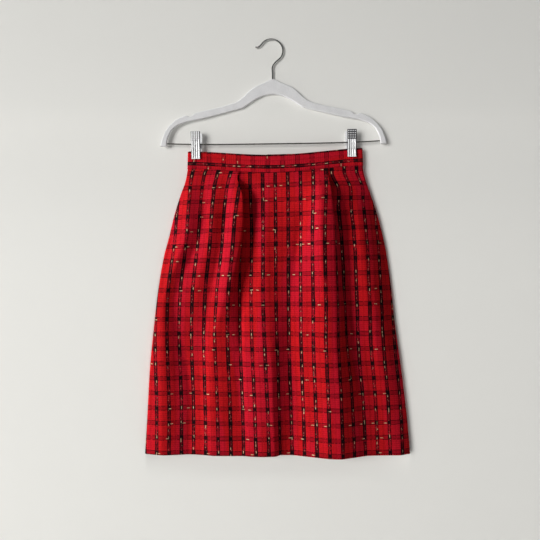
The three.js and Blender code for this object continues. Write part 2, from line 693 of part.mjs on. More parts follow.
// Hanger: a slim flocked body with an arched middle, a strap notch on each arm and turned-down ends.
// Each row is a place on the half outline: distance from the middle, drop from the hook's inside top.
const HANGER_TOP_EDGE = [
  [4, 77.9], [17.7, 85.3], [34.1, 91.8], [46.3, 100.6], [58.3, 112.6], [67, 119.7], [74.8, 123.3],
  [98.5, 130.2], [137.8, 138.6], [152.4, 142.4], [155.5, 144], [159, 147.8], [165.4, 149.4], [169.6, 147.2],
  [173, 147.1], [182.1, 150.3], [193, 156.2], [204.8, 167.2], [213.6, 179.4], [219.5, 194.2], [222.5, 207],
];
const HANGER_UNDER_EDGE = [
  [210.9, 207.4], [209.3, 194.4], [205.2, 184.3], [200.9, 176.4], [194.9, 170.5], [187.8, 165.6],
  [179.2, 162.5], [169.3, 159.1], [137.8, 153.6], [98.5, 144], [67, 136.1], [59.1, 133.9], [47.3, 125.8],
  [35, 117.8], [19.7, 110.5], [6, 107.9],
];

function hangerGeometry() {
  const half = [...HANGER_TOP_EDGE, ...HANGER_UNDER_EDGE];
  const right = half.map(([x, drop]) => [x, -drop]);
  const left = half.map(([x, drop]) => [-x, -drop]).reverse();
  const loop = [...right, ...left].reverse();
  const shape = new THREE.Shape(loop.map(([x, z]) => new THREE.Vector2(x, z)));
  return plateGeometry(shape, HANGER_THICK, HANGER_EDGE_ROUND);
}

// A round wire along a smooth curve through points in the X-Z plane.
function wireGeometry(points, diameter, steps) {
  const curve = new THREE.CatmullRomCurve3(points.map(([x, z]) => new THREE.Vector3(x, 0, z)));
  const section = new THREE.Shape();
  section.absarc(0, 0, diameter / 2, 0, Math.PI * 2);
  const options = { steps, curveSegments: 4, bevelEnabled: false, extrudePath: curve };
  return new THREE.ExtrudeGeometry(section, options);
}

// The hook's wire: up from the hanger, a bend to the right, the round crook, and a tip turned out.
function hookPoints() {
  const centreZ = HOOK_WIRE / 2 - HOOK_RADIUS;
  const stemFoot = SEAM_GAP - HANGER_TOP_EDGE[0][1];
  const stemTop = -54;
  const points = [stemFoot, stemFoot + 12, stemTop].map((z) => [HANGER_CENTRE_X, z]);
  points.push([HANGER_CENTRE_X + 4.5, stemTop + 8]);
  for (let degrees = -36; degrees <= 158; degrees += 13) {
    points.push([HOOK_RADIUS * Math.cos(rad(degrees)), centreZ + HOOK_RADIUS * Math.sin(rad(degrees))]);
  }
  points.push([-HOOK_RADIUS - 3, centreZ + 7], [-HOOK_RADIUS - 8, centreZ + 7.4]);
  return points;
}

const barZ = (x) => BAR_END_Z - BAR_SAG * (1 - (Math.abs(x) / BAR_HALF) ** 4);
function barPoints() {
  const count = 12;
  const points = [];
  for (let i = 0; i <= count; i += 1) {
    const x = BAR_HALF * (2 * (i / count) - 1);
    points.push([HANGER_CENTRE_X + x, barZ(x)]);
  }
  return points;
}

const hanger = new THREE.Group();
hanger.rotation.y = rad(-HANGER_TILT_DEG);
const hangerBody = addMesh(hanger, "hanger_body", hangerGeometry(), flock);
hangerBody.position.x = HANGER_CENTRE_X;
addMesh(hanger, "hanger_hook", wireGeometry(hookPoints(), HOOK_WIRE, 44), chrome);
addMesh(hanger, "hanger_bar", wireGeometry(barPoints(), BAR_WIRE, 16), chrome);

// Spring clips on the bar. Each leaf's rows: height above the bar, distance out from the bar's plane.
const LEAF_SECTION = [
  [23.8, 8.4], [20.5, 9], [14, 7.8], [5, 6.5], [-4, 6.1], [-12, 5.1], [-15, 3.75], [-21, 3.6], [-26.5, 3.6],
  [-29.3, 4.7],
];
const RIB_COLUMNS = 16;

function leafGeometry(way, ribs) {
  const steps = ribs ? RIB_COLUMNS : 2;
  const rows = LEAF_SECTION.map(([up, out]) => {
    const row = [];
    for (let c = 0; c <= steps; c += 1) row.push([CLIP_WIDTH * (c / steps - 0.5), way * out, up]);
    return row;
  });
  const ribbed = (r, c) => (ribs && r > 2 && c % 4 !== 0 ? CLIP_RIB_HEIGHT : 0);
  return wallGeometry(rows, CLIP_SHEET, way < 0 ? 1 : -1, ribbed);
}

// The coiled spring round the bar, as a ring with rounded edges.
function springGeometry() {
  const inner = BAR_WIRE / 2 + SEAM_GAP + 0.1;
  const half = SPRING_LENGTH / 2;
  const edge = 0.6;
  const profile = [[inner, -half], [SPRING_RADIUS - edge, -half], [SPRING_RADIUS, -half + edge],
    [SPRING_RADIUS, half - edge], [SPRING_RADIUS - edge, half], [inner, half], [inner, -half]];
  const ring = new THREE.LatheGeometry(profile.map(([x, y]) => new THREE.Vector2(x, y)), 16);
  return ring.rotateZ(Math.PI / 2);
}

for (const [side, x, lean] of [["left", LEFT_CLIP_X, 2], ["right", RIGHT_CLIP_X, -2]]) {
  const clip = new THREE.Group();
  const z = barZ(x - HANGER_CENTRE_X);
  clip.position.set(x + z * Math.sin(rad(HANGER_TILT_DEG)), 0, z);
  addMesh(clip, `${side}_clip_front`, leafGeometry(-1, true), chrome);
  addMesh(clip, `${side}_clip_back`, leafGeometry(1, false).translate(lean, 0, 0), chrome);
  addMesh(clip, `${side}_clip_spring`, springGeometry(), springSteel);
  hanger.add(clip);
}
skirt.add(hanger);

export default skirt;
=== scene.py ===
"""A checked wool skirt on a clip hanger: its looks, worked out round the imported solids.

Tables and sizes are in millimetres and match the ones that the solids were made from. The garment's front
faces -Y and Z is up. The hanger's hook has its inside top at the origin.
"""

import math
from functools import partialmethod

import bpy
import numpy as np
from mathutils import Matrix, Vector


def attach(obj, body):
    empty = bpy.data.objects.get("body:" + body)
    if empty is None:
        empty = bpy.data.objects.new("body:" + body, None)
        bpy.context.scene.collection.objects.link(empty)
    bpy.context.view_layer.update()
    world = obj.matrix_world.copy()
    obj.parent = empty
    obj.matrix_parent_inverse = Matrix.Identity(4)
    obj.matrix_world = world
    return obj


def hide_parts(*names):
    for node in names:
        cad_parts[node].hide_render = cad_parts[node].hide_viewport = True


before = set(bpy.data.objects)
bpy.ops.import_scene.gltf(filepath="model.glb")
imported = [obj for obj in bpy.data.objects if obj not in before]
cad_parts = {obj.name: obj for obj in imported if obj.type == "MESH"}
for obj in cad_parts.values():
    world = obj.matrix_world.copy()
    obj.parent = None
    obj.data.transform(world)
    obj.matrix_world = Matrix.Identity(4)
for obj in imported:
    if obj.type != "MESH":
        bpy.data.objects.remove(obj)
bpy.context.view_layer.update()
MM = 0.001
HALF_TURN = math.pi
QUARTER_TURN = math.pi / 2

# ---- sizes shared with the solids
SEAM_GAP = 0.3
CLOTH_THICK = 1.2
BAND_THICK = 2.4
BAND_HEIGHT = 35
WAIST_CENTRE_X = 8
WAIST_HALF = 172
SEAM_END_Z = -251.5
WAIST_SAG = 11
WAIST_TILT = 0.0205
HEM_Z = -813
SKIRT_DROP = 553
HEM_DROP = 556
CENTRE_BACK_HEM_X = 13
LEFT_CLIP_X = -147.5
RIGHT_CLIP_X = 158.5
LEFT_CLIP_TOP_Z = -182.1
RIGHT_CLIP_TOP_Z = -177.6
CLIP_WIDTH = 18
CLIP_MIDDLE_DOWN = 26.7
HANGER_TILT = math.radians(0.82)
ZIP_LENGTH = 178
ZIP_OPENING = 5.4

# The outline, one value for each drop below the waist seam.
OUTLINE_DROPS = [0, 14, 28, 50, 92, 134, 170, 235, 305, 384, 480, 556]
OUTLINE = {
    "left_x": [-163.6, -165.9, -169.3, -177.5, -190.4, -200.6, -210.2, -221.4, -229.6, -237.4, -242.8,
               -247.1],
    "right_x": [180, 182.2, 186, 193.5, 208, 219, 226.6, 235.9, 243.4, 254.5, 266.5, 273.1],
    "grain_x": [8, 8.2, 8.3, 8.5, 8.9, 9, 9.1, 9.2, 10.6, 13.1, 15.6, 17.3],
    "radius": [3, 3.3, 3.6, 4.1, 5, 5.6, 6, 6.5, 7, 7, 7, 7],
    "front_bulge": [7.5, 8, 9, 10.5, 13, 14, 14.5, 15, 15.5, 15.5, 16, 16],
    "back_bulge": [3.5, 3.8, 4.1, 4.6, 5.5, 6.1, 6.5, 7, 7.5, 8, 8.5, 9],
}

# Fold lines of the front, from its left side to its right, one value for each of these drops: the fold's
# place in the cloth counted from the grain line, the cloth's slope after it in degrees (away from the
# viewer is positive), and the width of cloth over which it turns.
FOLD_DROPS = [0, 14, 48, 113, 250, 340, 447, 556]
LEFT_SIDE_SLOPE = [0, -4, -14, -14, -14, -6, 0, 0]
FRONT_FOLDS = [
    ("left fold start", [-200, -200, -200, -196, -228, -230, -232, -234],
     [0, 7, 24, 28, 24, 23, 19, 18], [10, 10, 10, 12, 12, 12, 14, 14]),
    ("left fold end", [-176, -176, -168, -166, -205, -192, -176, -182],
     [0, 0, -8, -19, -2, 3, -11, 0], [10, 10, 12, 12, 16, 14, 12, 14]),
    ("side dip", [-152, -152, -152, -146, -164, -168, -158, -166],
     [0, 4, 15, 23, 7, -9, -19, -4], [12, 12, 12, 12, 16, 16, 16, 16]),
    ("rise to left pleat", [-126, -126, -122, -121, -138, -146, -146, -152],
     [0, -4, -16, -35, -27, -28, -21, -12], [10, 10, 12, 12, 12, 12, 12, 14]),
    ("left crest end", [-116, -116, -104, -102, -107, -127, -134, -134],
     [0, -2, 5, 11, 7, 3, 3, 4], [8, 8, 10, 10, 10, 12, 14, 14]),
    ("left pleat lip", [-107.2, -106.2, -89.5, -81, -96, -100, -106, -104],
     [180, 180, 150, 112, 33, 8, 9, 4], [3, 3, 5, 9, 10, 12, 14, 14]),
    ("left pleat root", [-88.4, -89.7, -76.7, -70.3, -72, -74, -78, -74],
     [0, 4, 25, 30, -24, -23, -19, -14], [3, 3, 6, 9, 12, 12, 12, 14]),
    ("left centre crest", [-59, -59, -46, -50, -54, -54, -56, -60],
     [0, 0, -12, -30, -22, -13, -9, -2], [12, 12, 12, 12, 12, 14, 14, 14]),
    ("left centre", [-30, -30, -28, -28, -30, -32, -40, -36],
     [0, 2, 5, 5, 1, 1, 0, 9], [12, 12, 12, 12, 12, 14, 14, 14]),
    ("step crest", [-19.8, -19.8, -19.7, -20, -10, -10, -13.6, -11.6],
     [0, 2, 6, 8, 10, 23, 38, 46], [12, 12, 14, 14, 12, 12, 10, 9]),
    ("step foot", [9.9, 9.9, 4.9, 5.9, 8, 8, 3.9, 1.9],
     [0, 2, 6, 8, 9, 21, 15, 4], [12, 12, 14, 16, 14, 12, 10, 9]),
    ("rise to right pleat", [50, 50, 52, 48, 28, 25, 26, 24],
     [0, -1, -16, -30, -20, -21, -17, -16], [12, 12, 14, 14, 14, 12, 12, 12]),
    ("right crest", [86.9, 86.9, 88, 90, 96, 98, 98, 98],
     [0, 4, 18, 14, 7, 2, -3, -2], [10, 10, 12, 12, 12, 14, 16, 16]),
    ("right pleat lip", [102.6, 103.2, 110.1, 117.1, 119, 119, 120, 120],
     [180, 180, 140, 74, 54, 42, 26, 22], [3, 3, 6, 10, 12, 13, 12, 12]),
    ("right pleat root", [121.3, 121.5, 122.9, 142, 148, 157, 173, 175],
     [0, 0, 12, -11, -21, -16, -2, 2], [3, 3, 6, 12, 12, 16, 12, 12]),
    ("right valley", [160, 160, 182, 184, 190, 189, 200, 202],
     [0, 4, 14, 16, 2, -13, -10, -4], [12, 12, 12, 12, 14, 14, 14, 14]),
    ("right side fall", [178, 178, 196, 204, 208, 207, 216, 224],
     [0, 5, 16, 23, 17, 7, 2, -7], [12, 12, 12, 14, 14, 14, 14, 14]),
    ("right side rise", [196, 196, 208, 222, 232, 232, 243, 243],
     [0, 0, 2, 19, 18, 18, 17, 20], [12, 12, 12, 14, 14, 14, 14, 14]),
]

# Soft troughs (depth above 0) and ridges (below 0) laid over the front: the place at the upper and
# at the lower end, the drops where it starts and ends, its half width, and its depth at the middle. The first
# two are the dark troughs at the pleats' roots.
FRONT_CREASES = [
    (-74, -72, 25, 380, 5.5, 4), (122, 170, 25, 430, 6, 3.5),
    (-40, -48, 150, 420, 9, 0.9), (34, 30, 60, 300, 10, -0.8), (70, 64, 180, 500, 9, 1.0),
    (-5, -8, 120, 330, 9, 0.8), (-150, -158, 300, 540, 9, 0.9), (100, 96, 330, 540, 10, -0.9),
    (-68, -60, 250, 520, 8, -0.9), (150, 150, 260, 520, 9, 0.9), (215, 222, 200, 500, 10, -0.9),
    (-200, -206, 230, 520, 10, 0.9), (26, 24, 380, 545, 8, 0.9), (56, 60, 420, 550, 8, -0.8),
    (-96, -92, 400, 552, 8, 0.8), (180, 176, 330, 545, 8, -0.8), (0, 4, 20, 110, 12, 0.7),
    (46, 48, 12, 100, 10, -0.7), (-44, -40, 14, 110, 10, 0.7), (-172, -170, 20, 130, 9, -0.7),
    (176, 178, 18, 140, 9, 0.8), (-244, -240, 300, 545, 8, -0.8), (246, 250, 330, 548, 8, 0.9),
]
# The same for each back panel, with places given as a share from the centre back to the side.
BACK_CREASES = {
    -1: [(0.12, 0.14, 20, 200, 0.05, 0.8), (0.3, 0.33, 10, 260, 0.05, -1.1),
         (0.55, 0.52, 60, 420, 0.05, 1.2), (0.75, 0.78, 120, 540, 0.045, -1.2),
         (0.36, 0.34, 260, 550, 0.05, 1.1), (0.9, 0.92, 200, 548, 0.04, 1),
         (0.1, 0.08, 230, 552, 0.04, -0.9)],
    1: [(0.1, 0.13, 30, 230, 0.05, -0.9), (0.34, 0.3, 14, 300, 0.05, 1.1),
        (0.58, 0.6, 40, 380, 0.05, -1.2), (0.8, 0.77, 100, 545, 0.045, 1.2),
        (0.44, 0.42, 280, 552, 0.05, -1.1), (0.92, 0.94, 180, 550, 0.04, -1),
        (0.14, 0.1, 250, 552, 0.04, 0.9)],
}
# Soft hanging folds of the back: share from the centre back to the side, half width, depth at the hem.
BACK_FOLDS = [(0.2, 0.13, 3.2), (0.46, 0.1, -2.6), (0.64, 0.12, 4), (0.84, 0.08, -2.4)]

# The check: its stripe spacings in the cloth, how far under the origin a crosswise band lies, and the tilt of
# those bands near the waist and further down, with the depths between which it changes.
WARP_STEP = 24.6
WEFT_STEP = 28.86
WEFT_ZERO = 288.0
WAIST_WEFT_TILT = 0.029
HEM_WEFT_TILT = 0.005
WEFT_TILT_START = 270
WEFT_TILT_SPAN = 350


# ---- small arithmetic
def smooth(t):
    """A soft step from 0 to 1: 3t^2 - 2t^3, held outside 0..1."""
    t = np.clip(t, 0, 1)
    return t * t * (3 - 2 * t)


def lerp(a, b, t):
    return a + (b - a) * t


def eased(drops, values, at):
    """A table's column read at any drops: a cubic between two rows, with each row's slope taken across its
    neighbours."""
    drops, values, at = np.asarray(drops, float), np.asarray(values, float), np.asarray(at, float)
    rows = np.arange(len(drops))
    before, after = np.maximum(rows - 1, 0), np.minimum(rows + 1, rows[-1])
    slope = (values[after] - values[before]) / (drops[after] - drops[before])
    i = np.clip(np.searchsorted(drops, at) - 1, 0, rows[-1] - 1)
    span = drops[i + 1] - drops[i]
    t = np.clip((at - drops[i]) / span, 0, 1)
    return (values[i] * (2 * t**3 - 3 * t**2 + 1) + span * slope[i] * (t**3 - 2 * t**2 + t)
            + values[i + 1] * (3 * t**2 - 2 * t**3) + span * slope[i + 1] * (t**3 - t**2))


def outline(name, drop):
    return eased(OUTLINE_DROPS, OUTLINE[name], drop)


def seam_z(x):
    """The waist seam's height: the hanger's tilt, and a sag of (1 - across^2)^2 between the clips."""
    across = np.clip((x - WAIST_CENTRE_X) / WAIST_HALF, -1, 1)
    return SEAM_END_Z + WAIST_TILT * (x - WAIST_CENTRE_X) - WAIST_SAG * (1 - across**2) ** 2


def height_at(x, drop):
    """A panel point's height, a straight share of the way from the seam down to the hem."""
    return lerp(seam_z(x) - SEAM_GAP, HEM_Z, drop / HEM_DROP)


def crease_depth(creases, place, drop):
    """Sum of soft troughs: each is depth x bell across x a sine hump along its own length."""
    total = np.zeros(np.broadcast(place, drop).shape)
    for upper, lower, start, end, half, depth in creases:
        along = np.clip((drop - start) / (end - start), 0, 1)
        middle = lerp(upper, lower, along)
        total += depth * np.sin(HALF_TURN * along) ** 0.8 * np.exp(-(((place - middle) / half) ** 2))
    return total


# ---- meshes from grids
def grid_faces(rows, columns, start=0, wrap_columns=False, flip=False):
    """Quads of a rows x columns grid of points, numbered row by row."""
    r, c = np.meshgrid(np.arange(rows - 1), np.arange(columns - (0 if wrap_columns else 1)), indexing="ij")
    nxt = (c + 1) % columns
    quads = np.stack([r * columns + c, (r + 1) * columns + c, (r + 1) * columns + nxt, r * columns + nxt], -1)
    quads = quads.reshape(-1, 4) + start
    return quads[:, ::-1] if flip else quads


def add_object(name, data):
    """Puts data into the scene as an object at the origin."""
    made = bpy.data.objects.new(name, data)
    bpy.context.scene.collection.objects.link(made)
    return made


def smooth_mesh(name, points, faces, material):
    """A smooth-shaded mesh of points in metres."""
    mesh = bpy.data.meshes.new(name)
    mesh.from_pydata(points.tolist(), [], [list(map(int, f)) for f in faces])
    mesh.polygons.foreach_set("use_smooth", np.full(len(mesh.polygons), True))
    mesh.materials.append(material)
    return mesh


def make_piece(name, points, faces, material, uv=None):
    """Puts points (mm) and faces into a piece that rides on the body, with one UV pair for each point."""
    mesh = smooth_mesh(name, np.asarray(points, float) * MM, faces, material)
    if uv is not None:
        layer = mesh.uv_layers.new(name="cloth")
        index = np.empty(len(mesh.loops), np.int32)
        mesh.loops.foreach_get("vertex_index", index)
        layer.data.foreach_set("uv", np.asarray(uv, np.float32)[index].ravel())
    mesh.update()
    piece = add_object(name, mesh)
    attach(piece, "root")
    return piece


def grid_normals(middle):
    """Unit normals of a grid of points: the cross product of its two central differences."""
    down, across = np.gradient(middle, axis=0), np.gradient(middle, axis=1)
    normal = np.cross(down, across)
    return normal / np.maximum(np.linalg.norm(normal, axis=-1, keepdims=True), 1e-9)


def wall(middle, thick, uv, flip=False):
    """A closed cloth wall: the middle surface moved half the thickness out and in along its normals, with
    strips round its four edges. thick may change over the grid; flip turns inside and outside round."""
    rows, columns = middle.shape[:2]
    normal = grid_normals(middle) * (-1 if flip else 1)
    half = np.broadcast_to(np.asarray(thick, float), (rows, columns))[..., None] / 2
    outer, inner = middle + normal * half, middle - normal * half
    points = np.concatenate([outer.reshape(-1, 3), inner.reshape(-1, 3)])
    count = rows * columns
    number = np.arange(count).reshape(rows, columns)
    border = np.concatenate([number[0, :-1], number[:-1, -1], number[-1, :0:-1], number[:0:-1, 0]])
    follow = np.roll(border, -1)
    rim = np.stack([border, follow, follow + count, border + count], -1)
    sides = [grid_faces(rows, columns, flip=flip), grid_faces(rows, columns, count, flip=not flip)]
    faces = np.concatenate(sides + [rim[:, ::-1] if flip else rim])
    return points, faces, np.concatenate([uv.reshape(-1, 2)] * 2)


# ---- the cloth's shape
PANEL_ROWS = 168
ROW_EASE = 1.06
FRONT_COLUMNS = 262
BACK_COLUMNS = 118
EDGE_COLUMNS = 5
PLACE_STEP = 0.5
PLACE_REACH = 330
BEND_WEIGHT = 0.55
BEND_LIMIT = 12
HEM_TURN_DROP = 515
HEM_TURN_BLEND = 4
HEM_TURN_EXTRA = 0.5
BACK_FOLD_START = 240
BACK_FOLD_SHIFT = {-1: -0.02, 1: 0.03}
ZIP_CLOSE_BLEND = 12
EDGE_UV_STEP = 0.4


def panel_drops():
    """The drops of a panel's rows, a little closer together near the waist."""
    return np.linspace(0, 1, PANEL_ROWS) ** ROW_EASE * HEM_DROP


def panel_thick(drop):
    """The cloth's thickness, greater where the hem is turned up."""
    return lerp(CLOTH_THICK, CLOTH_THICK + HEM_TURN_EXTRA, smooth((drop - HEM_TURN_DROP) / HEM_TURN_BLEND))


def front_section(drop):
    """The front's middle surface at many drops. The cloth's slope is a sum of soft steps at the fold lines;
    x and y are its running cosine and sine both ways from the grain line. Columns lie closer together where
    the cloth bends. The ends are levelled onto the side seams, the middle bulges by 1 - (2t-1)^4, and a
    quarter circle turns into each side seam."""
    edges = np.arange(-PLACE_REACH, PLACE_REACH + PLACE_STEP / 2, PLACE_STEP)
    centres = (edges[1:] + edges[:-1]) / 2
    before = eased(FOLD_DROPS, LEFT_SIDE_SLOPE, drop)
    slope = np.repeat(before[:, None], len(centres), 1)
    for _, place, after, spread in FRONT_FOLDS:
        at, now, wide = (eased(FOLD_DROPS, column, drop) for column in (place, after, spread))
        slope += (now - before)[:, None] * smooth((centres - at[:, None]) / wide[:, None] + 0.5)
        before = now
    turn = np.radians(slope)
    start = np.zeros((len(drop), 1))
    x, y = (np.concatenate([start, np.cumsum(f(turn) * PLACE_STEP, 1)], 1) for f in (np.cos, np.sin))
    middle = len(edges) // 2
    x += outline("grain_x", drop)[:, None] - x[:, middle : middle + 1]
    y -= y[:, middle : middle + 1]
    y += crease_depth(FRONT_CREASES, edges[None, :], drop[:, None])
    left, right, radius = outline("left_x", drop), outline("right_x", drop), outline("radius", drop)
    bend = np.abs(np.gradient(slope, axis=1))
    density = 1 + BEND_WEIGHT * np.minimum(bend / PLACE_STEP, BEND_LIMIT)
    rows = []
    for r in range(len(drop)):
        first = np.argmax(x[r] > left[r] + radius[r])
        last = len(edges) - 1 - np.argmax(x[r][::-1] < right[r] - radius[r])
        weight = np.concatenate([[0], np.cumsum(density[r, first:last])])
        share = np.linspace(0, weight[-1], FRONT_COLUMNS)
        place = np.interp(share, weight, edges[first : last + 1])
        rows.append((place, np.interp(place, edges, x[r]), np.interp(place, edges, y[r])))
    place, x, y = (np.array([row[k] for row in rows]) for k in range(3))
    t = np.clip((x - x[:, :1]) / (x[:, -1:] - x[:, :1]), 0, 1)
    bulge = outline("front_bulge", drop)[:, None] * (1 - (2 * t - 1) ** 4)
    y = y - lerp(y[:, :1], y[:, -1:], t) - radius[:, None] - bulge
    arc = QUARTER_TURN * np.arange(EDGE_COLUMNS) / EDGE_COLUMNS
    out, back = radius[:, None] * np.cos(arc), -radius[:, None] * np.sin(arc)
    run = radius[:, None] * (QUARTER_TURN - arc)
    back[:, 0] = -SEAM_GAP / 2
    place = np.concatenate([place[:, :1] - run, place, (place[:, -1:] + run)[:, ::-1]], 1)
    x = np.concatenate([x[:, :1] - out, x, (x[:, -1:] + out)[:, ::-1]], 1)
    y = np.concatenate([back, y, back[:, ::-1]], 1)
    return place, x, y


def weft_place(x, z):
    """How far down the cloth a point lies, for the weft stripes: they hang level at the hem and tilt with
    the hanger near the waist."""
    tilt = lerp(WAIST_WEFT_TILT, HEM_WEFT_TILT, smooth((-z - WEFT_TILT_START) / WEFT_TILT_SPAN))
    return -(z - tilt * (x - WAIST_CENTRE_X)) - WEFT_ZERO


def front_panel(material):
    """The front panel's cloth: the folded sections, one for each row, thickened into a wall."""
    drop = panel_drops()
    place, x, y = front_section(drop)
    z = height_at(x, drop[:, None])
    middle = np.stack([x, y, z], -1)
    uv = np.stack([place / 1000 + 0.5, weft_place(x, z) / 1000], -1)
    points, faces, uv = wall(middle, panel_thick(drop)[:, None], uv)
    piece = make_piece("front_cloth", points, faces, material, uv=uv)
    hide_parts("front_panel")
    return piece


def back_depth(drop, share, shift):
    """A back panel's depth without its creases: side radius + bulge x (1 - share^3) + soft bells that grow
    towards the hem, all moved along by shift."""
    radius, bulge = outline("radius", drop), outline("back_bulge", drop)
    y = radius + bulge * (1 - share**3)
    for at, half, amount in BACK_FOLDS:
        y = y + amount * smooth(drop / BACK_FOLD_START) * np.exp(-(((share - at - shift) / half) ** 2))
    return y


def back_surface(way, drop, share):
    """The depth of one back panel's middle surface, creases included."""
    return back_depth(drop, share, BACK_FOLD_SHIFT[way]) - crease_depth(BACK_CREASES[way], share, drop)


def centre_back_x(drop):
    return lerp(WAIST_CENTRE_X, CENTRE_BACK_HEM_X, drop / SKIRT_DROP)


def back_panel(way, material):
    """One back panel, from the centre back to the side, with a quarter circle into the side seam."""
    drop = panel_drops()[:, None]
    radius = outline("radius", drop)
    open_share = 1 - smooth((drop - ZIP_LENGTH) / ZIP_CLOSE_BLEND)
    centre = centre_back_x(drop) + way * lerp(SEAM_GAP / 2, ZIP_OPENING / 2, open_share)
    edge = outline("right_x" if way > 0 else "left_x", drop) - way * radius
    share = np.linspace(0, 1, BACK_COLUMNS)[None, :]
    x, y = lerp(centre, edge, share), back_surface(way, drop, share)
    arc = QUARTER_TURN * np.arange(1, EDGE_COLUMNS + 1) / EDGE_COLUMNS
    side_y = radius * np.cos(arc)
    side_y[:, -1] = SEAM_GAP / 2
    y = np.concatenate([y, side_y], 1)
    x = np.concatenate([x, edge + way * radius * np.sin(arc)], 1)
    z = height_at(x, drop)
    turned = np.concatenate([np.zeros(BACK_COLUMNS), EDGE_UV_STEP * np.arange(1, EDGE_COLUMNS + 1)])
    run = np.abs(x - centre) + turned
    uv = np.stack([(WARP_STEP / 2 + run) / 1000 * way + 0.5, weft_place(x, z) / 1000], -1)
    points, faces, uv = wall(np.stack([x, y, z], -1), panel_thick(drop), uv, flip=way > 0)
    side = "right" if way > 0 else "left"
    piece = make_piece(f"back_{side}_cloth", points, faces, material, uv=uv)
    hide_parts(f"back_{side}_panel")
    return piece


# ---- the waistband
BAND_EDGE_RADIUS = 2.8
BAND_LAP = 32
BAND_LEFT_X = (-162.5, -163.5)
BAND_RIGHT_X = (178.8, 180.4)
BAND_FRONT_OPEN = 8
BAND_BACK_OPEN = 3.5
BACK_BAND_RISE = 2.5
CLIP_FLAT = CLIP_WIDTH / 2 + 1.5
LAP_EASE = 26
BAND_DOWNS = np.linspace(0, 1, 15)
EDGE_STEPS = 5
# How many columns each stretch of the band has, round from the underlap.
UNDERLAP_COLUMNS, RIGHT_BACK_COLUMNS, LEFT_BACK_COLUMNS = 14, 66, 78
TURN_COLUMNS, FRONT_BAND_COLUMNS = 13, 150
# The band's light pucker: depth, turns for each millimetre along it in radians, and start.
PUCKERS = [(0.16, 0.93, 0), (0.12, 0.41, 1.3)]
PUCKER_SHARE = 0.8


def band_depth(x, down, opening):
    """Half the gap between the band's front and back: pinched at the clips, a sine belly between them."""
    start = LEFT_CLIP_X + CLIP_FLAT
    between = np.clip((x - start) / (RIGHT_CLIP_X - CLIP_FLAT - start), 0, 1)
    pinch = lerp(BAND_THICK / 2 + SEAM_GAP, BAND_EDGE_RADIUS, smooth((down - 0.45) / 0.55))
    return pinch + np.sin(HALF_TURN * between) ** 1.3 * lerp(0.75, 1, down) * opening


def band_ring(down):
    """The band's middle line at one share of its height, from the centre back round the front and back over
    its own start: the underlap, the right back, a half circle, the front, a half circle, the left back."""
    left = lerp(*BAND_LEFT_X, down) + BAND_EDGE_RADIUS
    right = lerp(*BAND_RIGHT_X, down) - BAND_EDGE_RADIUS
    lap_start, lap_end = WAIST_CENTRE_X + BAND_LAP / 2, WAIST_CENTRE_X - BAND_LAP / 2
    under = BAND_THICK + SEAM_GAP
    x = np.linspace(lap_end, lap_start + 1, UNDERLAP_COLUMNS)
    ring = [np.stack([x, band_depth(x, down, BAND_BACK_OPEN) - under], -1)]
    x = np.linspace(lap_start + 3, right, RIGHT_BACK_COLUMNS)
    tucked = under * (1 - smooth((x - lap_start) / LAP_EASE))
    ring.append(np.stack([x, band_depth(x, down, BAND_BACK_OPEN) - tucked], -1))
    turn = HALF_TURN * np.linspace(0, 1, TURN_COLUMNS)[1:-1]
    ends = {x: band_depth(x, down, 0) for x in (right, left)}
    ring.append(np.stack([right + BAND_EDGE_RADIUS * np.sin(turn), ends[right] * np.cos(turn)], -1))
    x = np.linspace(right, left, FRONT_BAND_COLUMNS)
    ring.append(np.stack([x, -band_depth(x, down, BAND_FRONT_OPEN)], -1))
    ring.append(np.stack([left - BAND_EDGE_RADIUS * np.sin(turn), -ends[left] * np.cos(turn)], -1))
    x = np.linspace(left, lap_start, LEFT_BACK_COLUMNS)
    ring.append(np.stack([x, band_depth(x, down, BAND_BACK_OPEN)], -1))
    return np.concatenate(ring)


